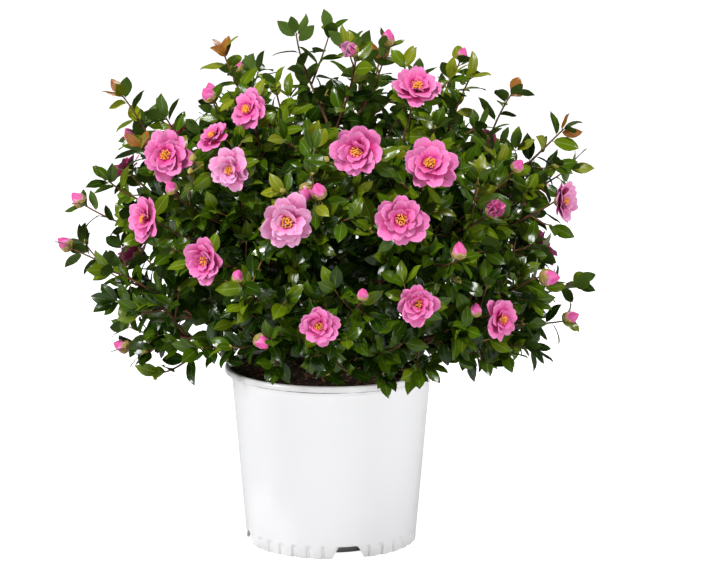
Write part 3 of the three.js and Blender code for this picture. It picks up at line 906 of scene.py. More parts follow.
@dataclass(frozen=True)
class PetalFinish(Finish):
    """Soft petal skin that deepens towards the petal's base, with faint veins."""

    base: Colour
    rim: Colour
    roughness: float = 0.52
    vein: float = 0.45

    def draw(self, sheet: NodeSheet, effects: Effects) -> dict[str, object]:
        """Draws three colours along the petal, under veins of the deepest."""
        tint = sheet.ramp(sheet.ways()["X"], (0.0, self.base), (0.5, self.colour), (1.0, self.rim))
        lines = sheet.group(effects.fibres, Along=2.5, Across=16.0)["Lines"]
        veins = sheet.spread(lines, (0.45, 0.75), (0.0, self.vein))
        return {
            "Base Color": sheet.mix(veins, tint, tuple(0.75 * value for value in self.base)),
            "Roughness": self.roughness,
            "Specular IOR Level": 0.2,
            "Sheen Weight": 0.06,
            "Normal": sheet.bump(lines, 0.35, 0.0006),
        }


@dataclass(frozen=True)
class BarkFinish(Finish):
    """Bark or twig skin: two browns, mottled, with lines along it."""

    light: Colour
    roughness: float = 0.7
    relief: float = 0.5

    def draw(self, sheet: NodeSheet, effects: Effects) -> dict[str, object]:
        """Draws the lighter brown in patches that follow the lines."""
        grain = sheet.group(effects.grain, Fine_scale=700.0, Broad_scale=70.0)
        lines = sheet.group(effects.fibres, Along=10.0, Across=9.0)["Lines"]
        shown = sheet.spread(sheet.math("MULTIPLY", grain["Mottle"], lines), (0.1, 0.5))
        height = sheet.math("ADD", lines, sheet.math("MULTIPLY", grain["Height"], 0.5))
        return {
            "Base Color": sheet.mix(shown, self.colour, self.light),
            "Roughness": self.roughness,
            "Specular IOR Level": 0.25,
            "Normal": sheet.bump(height, self.relief, 0.0012),
        }


@dataclass(frozen=True)
class SpeckleFinish(Finish):
    """A matt surface of two colours, speckled: potting mix, bark bits, anthers and calyx scales."""

    light: Colour
    roughness: float = 0.9
    speckle: float = 260.0
    share: float = 0.5

    def draw(self, sheet: NodeSheet, effects: Effects) -> dict[str, object]:
        """Draws specks of the lighter colour, three times finer in their relief."""
        grain = sheet.group(effects.grain, Fine_scale=3 * self.speckle, Broad_scale=self.speckle)
        shown = sheet.math("MULTIPLY", grain["Mottle"], self.share)
        return {
            "Base Color": sheet.mix(shown, self.colour, self.light),
            "Roughness": self.roughness,
            "Normal": sheet.bump(grain["Height"], 0.5, 0.001),
        }


@dataclass(frozen=True)
class PotFinish(Finish):
    """White moulded plastic, scuffed and greyed by painted shade on the lip, with dirt and a painted shadow
    in the groove under it, and dust at the foot.
    """

    dust: Colour = (0.42, 0.38, 0.33)
    # The groove's dark colour is dirt and painted shadow; the lip's grey is scuffs and painted shade.
    dirt_and_shade: Colour = (0.1, 0.085, 0.07)
    worn_and_shaded: Colour = (0.5, 0.485, 0.47)
    dust_share: float = 0.3
    dust_height: float = 0.016
    least_dirt_and_shade: float = 0.25
    groove_height: float = 0.2305
    groove_fade: tuple[float, float] = (0.0015, 0.0006)
    least_wear_and_shade: float = 0.08
    wear_and_shade_share: float = 0.4
    lip_base: float = 0.2316
    roughness: float = 0.34

    def draw(self, sheet: NodeSheet, effects: Effects) -> dict[str, object]:
        """Draws the marks by their height on the pot, each of them mottled: dust at the foot, dirt with a
        painted shadow in the groove under the lip, and scuffs with painted shade on the lip.
        """
        grain = sheet.group(effects.grain, Fine_scale=380.0, Broad_scale=26.0)
        mottle, gloss = grain["Mottle"], (self.roughness - 0.05, self.roughness + 0.1)
        height = sheet.add("SeparateXYZ", Vector=sheet.place()).outputs["Z"]
        low = sheet.math("MULTIPLY", sheet.spread(height, (self.dust_height, 0.0)), mottle)
        # The groove under the lip: a dark line of dirt and painted shadow.
        away = sheet.math("ABSOLUTE", sheet.math("SUBTRACT", height, self.groove_height))
        near = sheet.spread(away, self.groove_fade)
        dirt_and_shade_share = sheet.math("MULTIPLY", near, sheet.math("ADD", self.least_dirt_and_shade, mottle))
        # The lip: scuffs and painted shade that grey it.
        uneven = sheet.math("ADD", self.least_wear_and_shade, sheet.math("MULTIPLY", mottle, self.wear_and_shade_share))
        wear_and_shade = sheet.math("MULTIPLY", sheet.math("GREATER_THAN", height, self.lip_base), uneven)
        scuffed_and_shaded = sheet.mix(wear_and_shade, self.colour, self.worn_and_shaded)
        dusty = sheet.mix(sheet.math("MULTIPLY", low, self.dust_share), scuffed_and_shaded, self.dust)
        return {
            "Base Color": sheet.mix(dirt_and_shade_share, dusty, self.dirt_and_shade),
            "Roughness": sheet.spread(mottle, end=gloss),
            "Normal": sheet.bump(grain["Height"], 0.06, 0.0008),
        }


@dataclass(frozen=True)
class FloorFinish(Finish):
    """A pale floor that glows white to the camera alone."""

    glow: float = 1.0
    roughness: float = 0.8
    tint: float = 1.03

    def draw(self, sheet: NodeSheet, effects: Effects) -> dict[str, object]:
        """Draws a faint mottling, and the glow."""
        grain = sheet.add("TexNoise", Vector=sheet.place(), Scale=3.0).outputs["Fac"]
        lighter = tuple(self.tint * value for value in self.colour)
        seen = sheet.add("LightPath").outputs["Is Camera Ray"]
        return {
            "Base Color": sheet.ramp(grain, (0.3, self.colour), (0.7, lighter)),
            "Roughness": self.roughness,
            "Emission Color": (1.0, 1.0, 1.0),
            "Emission Strength": sheet.math("MULTIPLY", seen, self.glow),
        }


class LeafAge(Enum):
    """The ages of leaves, each with its own green, and a sunlit green; dealt out by place, the darker greens
    also stand for painted shade and the paler ones for painted light. A leaf's slots follow this order.
    """

    OLD = 0
    FULL = 1
    SUNLIT = 2
    YOUNG = 3
    BRONZE = 4


@dataclass
class Palette:
    """Every finish of the shrub, and the effects that they share."""

    effects: Effects = field(default_factory=Effects)
    # The old and sunlit greens also paint light: dealt out darker deep in the crown and low down as painted
    # shade, paler at its edge and top as painted light.
    leaves: tuple[tuple[LeafFinish, LeafFinish], ...] = (
        (
            LeafFinish("old leaf", (0.012, 0.034, 0.0006), 0.17),
            LeafFinish("old leaf midrib", (0.04, 0.075, 0.008), 0.4),
        ),
        (
            LeafFinish("full leaf", (0.042, 0.086, 0.0012), 0.16),
            LeafFinish("full leaf midrib", (0.09, 0.15, 0.02), 0.4),
        ),
        (
            LeafFinish("sunlit leaf", (0.094, 0.145, 0.0025), 0.18),
            LeafFinish("sunlit leaf midrib", (0.15, 0.23, 0.03), 0.4),
        ),
        (
            LeafFinish("young leaf", (0.175, 0.2, 0.006), 0.24),
            LeafFinish("young leaf midrib", (0.24, 0.31, 0.05), 0.42),
        ),
        (
            LeafFinish("bronze young leaf", (0.25, 0.092, 0.012), 0.28),
            LeafFinish("bronze leaf midrib", (0.28, 0.12, 0.025), 0.42),
        ),
    )
    underside: LeafFinish = LeafFinish("leaf underside", (0.06, 0.11, 0.012), 0.5, shine=0.2)
    petals: tuple[PetalFinish, ...] = (
        PetalFinish("outer petal", (0.65, 0.04, 0.26), (0.52, 0.006, 0.14), (0.71, 0.24, 0.49)),
        PetalFinish("inner petal", (0.62, 0.03, 0.225), (0.48, 0.005, 0.115), (0.7, 0.175, 0.42)),
        PetalFinish("fading petal", (0.69, 0.13, 0.37), (0.56, 0.02, 0.2), (0.73, 0.39, 0.6)),
    )
    filament: Finish = SpeckleFinish("filament", (0.88, 0.45, 0.1), (0.92, 0.62, 0.22), 0.5)
    anther: Finish = SpeckleFinish("anther", (0.93, 0.33, 0.015), (0.98, 0.58, 0.08), 0.7, 500.0, 0.8)
    calyx: Finish = SpeckleFinish("calyx scale", (0.2, 0.2, 0.03), (0.5, 0.26, 0.1), 0.42, 240.0, 0.8)
    green_bud: Finish = SpeckleFinish(
        "green bud scale", (0.27, 0.26, 0.04), (0.58, 0.38, 0.12), 0.42, 240.0
    )
    bark: Finish = BarkFinish("grey brown bark", (0.04, 0.022, 0.014), (0.13, 0.085, 0.055))
    twig: Finish = BarkFinish("brown twig", (0.08, 0.03, 0.014), (0.18, 0.078, 0.036), 0.5, 0.3)
    new_twig: Finish = BarkFinish("red new twig", (0.15, 0.05, 0.02), (0.16, 0.12, 0.028), 0.45, 0.2)
    mix: Finish = SpeckleFinish("potting mix", (0.01, 0.006, 0.003), (0.17, 0.09, 0.045), 0.95, 150.0)
    chip: Finish = SpeckleFinish("dark bark bit", (0.06, 0.028, 0.015), (0.32, 0.16, 0.08), 0.9, 220.0)
    red_chip: Finish = SpeckleFinish("red bark bit", (0.3, 0.1, 0.045), (0.6, 0.27, 0.13), 0.85, 220.0)
    pot: Finish = PotFinish("white moulded plastic", (0.85, 0.85, 0.865))
    floor: Finish = FloorFinish("pale floor", (0.55, 0.55, 0.55))

    def make(self, *finishes: Finish) -> list[bpy.types.Material]:
        """Makes the materials of some finishes."""
        return [finish.make(self.effects) for finish in finishes]


# ---------------------------------------------------------------- pot and potting mix


@dataclass
class Pot:
    """The moulded nursery pot, in metres."""

    height: float = 0.240
    foot_radius: float = 0.114
    body_radius: float = 0.1335
    bead_radius: float = 0.1364
    rim_radius: float = 0.1425
    wall: float = 0.0024
    rim_base: float = 0.226
    lip_base: float = 0.2316
    lip_width: float = 0.0055
    boss_radius: float = 0.082
    channel_height: float = 0.014
    skirt_width: float = 0.003
    flutes: int = 36
    flute_depth: float = 0.0023
    flute_top: float = 0.019
    notches: int = 4
    notch_turn: float = 12.0
    notch_height: float = 0.017
    notch_foot: float = 0.042
    notch_head: float = 0.025
    notch_reach: float = 0.016
    notch_round: float = 0.002
    cut_over: float = 0.004
    steps: int = 288
    sharp_from: float = 38.0

    def wall_radius(self, z: float) -> float:
        """Gives the outer wall's radius at a height."""
        return self.foot_radius + (self.body_radius - self.foot_radius) * min(1.0, z / self.rim_base)

    @staticmethod
    def near(radius: float, z: float, *steps: tuple[float, float]) -> list[tuple[float, float]]:
        """Gives points of the section that lie tenths of a millimetre out and up from a place."""
        return [(radius + out / 1e4, z + up / 1e4) for out, up in steps]

    def outline(self) -> list[tuple[float, float]]:
        """Draws the section of the pot's wall from the middle of the underside round to the inside."""
        boss, body, bead, rim = self.boss_radius, self.body_radius, self.bead_radius, self.rim_radius
        edge, mouth, wall = self.foot_radius - self.skirt_width, rim - self.lip_width, self.wall
        roof, base, lip, top = self.channel_height, self.rim_base, self.lip_base, self.height
        floor, skirt_top = roof + wall, 0.023
        points = [(0.0, 0.0), *self.near(boss, 0.0, (-10, 0), (0, 4))]
        points += self.near(boss, roof, (75, -8), (95, 0))
        points += self.near(edge, roof, (-20, 0), (-8, -10)) + self.near(edge, 0.0, (0, 6), (6, 0))
        points += self.near(self.foot_radius, 0.0, (-8, 0))
        levels = [0.0008, 0.003, 0.006, 0.009, 0.011, 0.013, 0.0145, 0.016, 0.0172, 0.0182, 0.019, 0.0205]
        levels += [skirt_top] + [skirt_top + (base - skirt_top - 0.0015) * i / 3 for i in (1, 2, 3)]
        points += [(self.wall_radius(z), z) for z in levels]
        points += self.near(body, base, (2, -5), (10, 5), (21, 14), (28, 24), (29, 34))
        points += self.near(bead, lip, (0, -6), (2, -1), (7, 0))
        points += self.near(rim, lip, (-13, 0), (-3, 4), (0, 13)) + self.near(rim, top, (0, -22), (-5, -9))
        points += self.near(rim, top, (-14, -2), (-24, 0))
        points += self.near(mouth, top, (16, -1), (5, -6), (0, -16))
        points += self.near(mouth, lip, (0, 18), (-7, 11)) + self.near(bead - wall, lip, (0, -6))
        points += self.near(body - wall, base, (0, 10))
        points += self.near(self.wall_radius(floor) - wall, floor, (0, 20))
        points += self.near(self.wall_radius(floor), floor, (-50, 0))
        points += [*self.near(boss, floor, (80, 0)), *self.near(boss, wall, (-20, 0)), (0.0, wall)]
        return points

    def flute(self, vertex: bmesh.types.BMVert) -> None:
        """Presses one vertex of the skirt in where a flute runs.

        Args:
            vertex: A vertex of the pot.
        """
        radius = math.hypot(vertex.co.x, vertex.co.y)
        if radius < self.foot_radius - 0.0012 or vertex.co.z > self.flute_top:
            return
        wave = math.cos(math.atan2(vertex.co.x, -vertex.co.y) * self.flutes - math.pi)
        crown = 1.1 * max(0.0, vertex.co.z / self.flute_top - 0.55) ** 2 / 0.2
        dip = self.flute_depth * smooth(clamp((wave - 0.1 - crown) / 0.45))
        vertex.co.x *= 1 - dip / radius
        vertex.co.y *= 1 - dip / radius

    def notch_cutter(self, turn: float) -> bpy.types.Object:
        """Makes the block that cuts one drain notch.

        Args:
            turn: Degrees round from the front.

        Returns:
            The block, not yet taken away from the pot.
        """
        bm = bmesh.new()
        bmesh.ops.create_cube(bm, size=1.0)
        middle = self.foot_radius - self.notch_reach / 2 + self.cut_over
        for vertex in bm.verts:
            high = vertex.co.z > 0
            vertex.co.x *= self.notch_head if high else self.notch_foot + self.cut_over
            vertex.co.y = -middle + vertex.co.y * (self.notch_reach + 2 * self.cut_over)
            vertex.co.z = self.notch_height if high else -self.cut_over / 2
        shoulders = [
            edge for edge in bm.edges
            if all(v.co.z > 0 for v in edge.verts) and abs(edge.verts[0].co.x - edge.verts[1].co.x) < 1e-6
        ]
        bmesh.ops.bevel(
            bm, geom=shoulders, offset=self.notch_round, segments=3, profile=0.5,
            affect="EDGES", material=-1,
        )
        spun = Matrix.Rotation(math.radians(turn), 3, "Z")
        bmesh.ops.rotate(bm, verts=bm.verts[:], cent=(0, 0, 0), matrix=spun)
        return object_from(bm, "notch cutter")

    def build(self, palette: Palette) -> bpy.types.Object:
        """Builds and dresses the pot.

        Args:
            palette: The finishes.

        Returns:
            The pot.
        """
        bm = turned(self.outline(), self.steps)
        for vertex in bm.verts:
            self.flute(vertex)
        bmesh.ops.recalc_face_normals(bm, faces=bm.faces[:])
        piece = object_from(bm, "nursery_pot", palette.make(palette.pot))
        cutters = [self.notch_cutter(self.notch_turn + i * 360 / self.notches) for i in range(self.notches)]
        for cutter in cutters:
            cut = piece.modifiers.new("drain notch", "BOOLEAN")
            cut.operation, cut.solver, cut.object = "DIFFERENCE", "MANIFOLD", cutter
        bpy.context.view_layer.update()
        shaped = bpy.data.meshes.new_from_object(piece.evaluated_get(bpy.context.evaluated_depsgraph_get()))
        piece.modifiers.clear()
        piece.data = shaped
        for cutter in cutters:
            bpy.data.objects.remove(cutter)
        shaped.shade_smooth()
        shaped.set_sharp_from_angle(angle=math.radians(self.sharp_from))
        return dress(piece, "pot_plastic", "pot")


@dataclass
class PottingMix:
    """The potting mix: a lumpy top with bits of bark lying on it, in metres."""

    level: float = 0.2345
    radius: float = 0.1363
    foot_radius: float = 0.085
    foot_height: float = 0.0027
    floor_radius: float = 0.1122
    floor_height: float = 0.0172
    flat_radius: float = 0.02
    lump: float = 0.0022
    lumps_per_metre: float = 70.0
    rings: int = 34
    steps: int = 132
    chips: int = 720
    chip_shapes: int = 4
    chip_size: tuple[float, float, float] = (0.0042, 0.0024, 0.0013)
    red_share: float = 0.22

    def top_height(self, x: float, y: float) -> float:
        """Gives the height of the mix's top at a point, flatter at the trunk and at the wall."""
        radius, scale = math.hypot(x, y), self.lumps_per_metre
        lump = noise.fractal(Vector((x * scale, y * scale, 0.3)), 0.8, 2.2, 4)
        rough = clamp((radius - self.flat_radius) / 0.01) * clamp((self.radius - radius) / 0.007, 0.1)
        return self.level - 0.001 + rough * (self.lump * lump - 0.0008)

    def build_bed(self, palette: Palette) -> bpy.types.Object:
        """Builds the mix itself, which fills the pot.

        Args:
            palette: The finishes.

        Returns:
            The mix.
        """
        outline = [(self.radius * i / self.rings, self.level) for i in range(self.rings + 1)]
        outline += [(self.radius - 0.0028, 0.2314), (self.radius - 0.0055, 0.2274)]
        outline += [
            (self.floor_radius, self.floor_height), (self.foot_radius + 0.002, self.floor_height - 0.0003)
        ]
        outline += [(self.foot_radius - 0.005, self.foot_height), (0.0, self.foot_height)]
        bm = turned(outline, self.steps)
        for vertex in bm.verts:
            if vertex.co.z > self.level - 0.001:
                vertex.co.z = self.top_height(vertex.co.x, vertex.co.y)
        bmesh.ops.recalc_face_normals(bm, faces=bm.faces[:])
        piece = object_from(bm, "potting_mix_bed", palette.make(palette.mix))
        piece.data.shade_smooth()
        return dress(piece, "potting_mix", "potting_mix")

    def build_chips(self, palette: Palette) -> bpy.types.Object:
        """Scatters bits of bark over the mix.

        Args:
            palette: The finishes.

        Returns:
            The bits, as one piece.
        """
        random = Seeded(77)
        shapes = []
        for _ in range(self.chip_shapes):
            bm = bmesh.new()
            bmesh.ops.create_icosphere(bm, subdivisions=1, radius=1.0)
            for vertex in bm.verts:
                vertex.co *= random.between(0.75, 1.2)
            bmesh.ops.scale(bm, vec=self.chip_size, verts=bm.verts[:])
            shapes.append(Template(bm))
        joined = Joined("bark_bits", palette.make(palette.chip, palette.red_chip))
        for shape in shapes:
            origins, frames, scales, slots = [], [], [], []
            for _ in range(self.chips // len(shapes)):
                out = self.radius * 0.965 * math.sqrt(random.between(0.03, 1))
                turn = random.turn()
                x, y = out * math.cos(turn), out * math.sin(turn)
                origins.append(np.array([x, y, self.top_height(x, y) + 0.0004]) / MM)
                level = np.array([math.cos(3 * turn), math.sin(5 * turn), 0.0])
                along = unit(level + 0.25 * random.direction())
                frames.append(facing_frame(along, UP + 0.4 * random.direction()))
                scales.append(random.between(0.35, 1.0) ** 1.3)
                slots.append(int(random() < self.red_share))
            joined.add_placed(shape, origins, frames, scales, slots)
        return dress(joined.finish(), "potting_mix")


# ---------------------------------------------------------------- limbs


def taper(start: float, end: float) -> Callable[[float], float]:
    """Gives the rule for a radius that changes evenly from one end to the other."""
    return lambda share: start + (end - start) * share


class Limbs:
    """A piece made of many round limbs, each bent along its own curve."""

    def __init__(self, name: str, materials: Materials) -> None:
        """Starts an empty piece, with its materials in the order of its slots."""
        self.joined = Joined(name, materials)
        self.shapes: dict[tuple[int, int], Template] = {}

    def rod(self, sides: int, steps: int) -> Template:
        """Gives a straight closed rod of unit length and radius, kept for the next limb of its kind.

        Args:
            sides: How many sides it has.
            steps: How many steps it has along its length.

        Returns:
            The rod as a template, lying along Z from 0 to 1.
        """
        if (sides, steps) not in self.shapes:
            bm = bmesh.new()
            bmesh.ops.create_cone(bm, cap_ends=True, segments=sides, radius1=1, radius2=1, depth=1)
            long_edges = [e for e in bm.edges if abs(e.verts[0].co.z - e.verts[1].co.z) > 0.5]
            bmesh.ops.subdivide_edges(bm, edges=long_edges, cuts=steps - 1, use_grid_fill=True)
            bmesh.ops.translate(bm, verts=bm.verts[:], vec=(0, 0, 0.5))
            layer = bm.loops.layers.uv.new("along")
            for face in bm.faces:
                for loop in face.loops:
                    turn = math.atan2(loop.vert.co.y, loop.vert.co.x) / FULL_TURN
                    loop[layer].uv = (loop.vert.co.z, abs(turn) * 2)
            for edge in bm.edges:
                at_cap = any(len(face.verts) > 4 for face in edge.link_faces)
                edge.smooth = not (len(edge.link_faces) == 2 and at_cap)
            self.shapes[(sides, steps)] = Template(bm)
        return self.shapes[(sides, steps)]

    def add(
        self, curve: Curve, radius_at: Callable[[float], float], sides: int, steps: int, slot: int = 0,
        relief: float = 0.0,
    ) -> None:
        """Adds one limb.

        Args:
            curve: Its middle line, in millimetres.
            radius_at: Its radius at each share of its length, in millimetres.
            sides: How many sides it has.
            steps: How many steps it has along its length.
            slot: The number of its material.
            relief: How far its bark stands in and out, in millimetres.
        """
        rod = self.rod(sides, steps)
        shares = rod.places[:, 2]
        side = facing_frame(curve.tangent(0.0), UP + np.array([0.3, 0.1, 0.0]))[:, 2]
        placed = np.zeros((len(shares), 3))
        for level in np.unique(np.round(shares, 5)).tolist():
            at, tangent = curve.at(level), curve.tangent(level)
            side = unit(side - tangent * along_by(side, tangent))
            here = np.abs(shares - level) < 1e-4
            across = rod.places[here, 0:1] * side + rod.places[here, 1:2] * np.cross(tangent, side)
            radii = np.full(int(here.sum()), radius_at(level))
            if relief:
                for i, point in enumerate(at + across * radii[:, None]):
                    ridges = noise.fractal(Vector(point * (0.35, 0.35, 0.09)), 0.7, 2.1, 3)
                    radii[i] += relief * ridges
            placed[here] = at + across * radii[:, None]
        self.joined.add(rod, placed[None] * MM, np.array([slot], dtype=np.int32))

    def finish(self) -> bpy.types.Object:
        """Makes the piece."""
        return self.joined.finish()


@dataclass
class Wood:
    """The trunk and its boughs, with the relief of their bark, in millimetres."""

    habit: Habit
    bark_relief: float = 0.45
    bough_share: float = 0.6
    sunk: float = 3.0

    def trunk_radius(self, share: float) -> float:
        """Gives the trunk's radius at a share of its height, flared at the foot."""
        habit = self.habit
        height = share * (habit.trunk_top - habit.trunk_foot[2])
        flare = (habit.trunk_flare - habit.trunk_radius) * max(0.0, 1 - height / habit.flare_height) ** 2
        return habit.trunk_radius + (habit.trunk_tip_radius - habit.trunk_radius) * share + flare

    def build(self, masses: list[Mass], palette: Palette) -> bpy.types.Object:
        """Builds the trunk and the boughs as one piece.

        Args:
            masses: The foliage masses that the boughs carry.
            palette: The finishes.

        Returns:
            The wood.
        """
        limbs = Limbs("trunk_and_boughs", palette.make(palette.bark))
        line = Curve.straight(self.habit.trunk_foot - self.sunk * UP, self.habit.trunk_tip)
        limbs.add(line, self.trunk_radius, 20, 26, relief=self.bark_relief)
        relief = self.bough_share * self.bark_relief
        for mass in masses:
            radius_at = taper(self.habit.bough_start, self.habit.bough_end)
            limbs.add(self.habit.bough_curve(mass), radius_at, 12, 34, relief=relief)
        return dress(limbs.finish(), "bark", "trunk", *(mass.bough for mass in masses))


# ---------------------------------------------------------------- blades: leaves, petals and scales


@dataclass(frozen=True)
class Blade:
    """A thin closed blade, such as a leaf or a petal, drawn by its outline and its bends."""

    length: float
    width: float
    half_width: Callable[[float], float]
    rise: Callable[[float, float], float]
    bend: Callable[[float], float]
    rows: tuple[float, ...]
    upper_columns: tuple[float, ...]
    lower_columns: tuple[float, ...]
    thickness: float
    upper_slots: tuple[int, ...]
    lower_slot: int
    end_shape: Callable[[float, float], float] = lambda share, side: 0.0

    def middle_line(self) -> list[tuple[float, float, float]]:
        """Follows the blade's middle line.

        Returns:
            The distance out, the height and the slope in radians at each row.
        """
        line, x, z, before = [], 0.0, 0.0, 0.0
        for row in self.rows:
            slope = self.bend((before + row) / 2)
            x += (row - before) * self.length * math.cos(slope)
            z += (row - before) * self.length * math.sin(slope)
            line.append((x, z, self.bend(row)))
            before = row
        return line

    def skin(self, bm: bmesh.types.BMesh, columns: tuple[float, ...], upper: bool) -> None:
        """Adds one side of the blade to a bmesh.

        Args:
            bm: The bmesh.
            columns: The places across the blade, from -1 to 1, of its lines of vertices.
            upper: Whether it is the upper side.
        """
        layer = bm.loops.layers.uv.verify()
        last_row, last_column = len(self.rows) - 1, len(columns) - 1
        made = bmesh.ops.create_grid(bm, x_segments=last_row, y_segments=last_column, size=1.0)
        line = self.middle_line()
        marks = {}
        for vertex in made["verts"]:
            i, j = (vertex.co.x + 1) / 2 * last_row, (vertex.co.y + 1) / 2 * last_column
            marks[vertex] = (round(i), round(j))
        faces = {face for vertex in made["verts"] for face in vertex.link_faces}
        for face in faces:
            cell = min(marks[vertex][1] for vertex in face.verts)
            face.material_index = self.upper_slots[cell] if upper else self.lower_slot
            for loop in face.loops:
                i, j = marks[loop.vert]
                loop[layer].uv = (self.rows[i], 0.5 + 0.5 * columns[j] * self.half_width(self.rows[i]))
        for vertex, (i, j) in marks.items():
            row, column = self.rows[i], columns[j]
            x, z, slope = line[i]
            inner = 0 < j < last_column and 0 < i < last_row
            lift = self.rise(row, column) - (self.thickness if inner and not upper else 0.0)
            x += self.end_shape(row, column) - lift * math.sin(slope)
            y = column * self.half_width(row) * self.width / 2
            vertex.co = Vector((x, y, z + lift * math.cos(slope)))
        if not upper:
            bmesh.ops.reverse_faces(bm, faces=list(faces))

    def template(self) -> Template:
        """Closes the blade from its two sides.

        Returns:
            The blade as a template, its root at the origin, lying along X.
        """
        bm = bmesh.new()
        self.skin(bm, self.upper_columns, True)
        self.skin(bm, self.lower_columns, False)
        bmesh.ops.remove_doubles(bm, verts=bm.verts[:], dist=1e-3)
        for edge in bm.edges:
            sides = {face.material_index == self.lower_slot for face in edge.link_faces}
            edge.smooth = len(sides) == 1
        to_metres(bm)
        return Template(bm)


@dataclass
class LeafShapes:
    """The shapes of the shrub's leaves, in millimetres."""

    length: float = 43.0
    width: float = 21.0
    petiole: float = 0.09
    stalk: float = 0.055
    thickness: float = 0.55
    variants: int = 7
    rows: tuple[float, ...] = (0.0, 0.09, 0.17, 0.32, 0.5, 0.68, 0.84, 0.94, 1.0)
    columns: tuple[float, ...] = (-1.0, -0.55, -0.06, 0.06, 0.55, 1.0)

    def half_width(self, share: float) -> float:
        """Gives the half width at a share of the length, 1 at the widest: a stalk, then a pointed oval."""
        if share <= self.petiole:
            return self.stalk if share > 0 else 0.0
        along = (share - self.petiole) / (1 - self.petiole)
        if along >= 0.999:
            return 0.0
        return max(self.stalk, math.sin(math.pi * along ** 0.93) ** (0.68 + 0.42 * along))

    def variant(self, random: Seeded) -> Template:
        """Makes one leaf with its own curl, fold and waviness.

        Args:
            random: The run of numbers that it is drawn from.

        Returns:
            The leaf, whose slots are 0 upper, 1 midrib and 2 underside.
        """
        curl = math.radians(random.between(18, 58))
        fold = random.between(0.16, 0.42)
        wave = random.between(0.2, 0.9)
        phase = random.between(0, 6)
        start = math.radians(random.between(4, 16))
        half = self.width / 2

        def rise(share: float, side: float) -> float:
            """Lifts the two halves of the blade up from the midrib, and ripples the edge."""
            across = abs(side) * self.half_width(share) * half
            ripple = wave * math.sin(9 * share + phase + (1.5 if side > 0 else 0.0)) * side * side
            dome = -0.028 * across * across
            return fold * across + dome + (ripple if 0.1 < share < 0.95 else 0.0)

        blade = Blade(
            length=self.length, width=self.width, half_width=self.half_width, rise=rise,
            bend=lambda share: start - curl * share ** 1.2, rows=self.rows,
            upper_columns=self.columns, lower_columns=(-1.0, 0.0, 1.0), thickness=self.thickness,
            upper_slots=(0, 0, 1, 0, 0), lower_slot=2,
        )
        return blade.template()

    def make(self) -> list[Template]:
        """Makes the leaves that the foliage is built from."""
        random = Seeded(31)
        return [self.variant(random) for _ in range(self.variants)]


# ---------------------------------------------------------------- foliage


@dataclass
class LeafPlace:
    """Where one leaf sits, how it lies and how old it is."""

    at: np.ndarray
    along: np.ndarray
    normal: np.ndarray
    scale: float
    age: LeafAge
    shape: int


@dataclass
class Twig:
    """A twig with leaves, and the furthest share of the crown that they may reach."""

    mass: Mass
    line: Curve
    random: Seeded
    limit: float
    leaf_size: float
    internode: float


@dataclass(frozen=True)
class TipWhorl:
    """The leaves round a twig's tip: how many, their angle off the twig in degrees, and their size."""

    count: int
    spread: float
    spread_step: float = 0.0
    size: float = 0.84


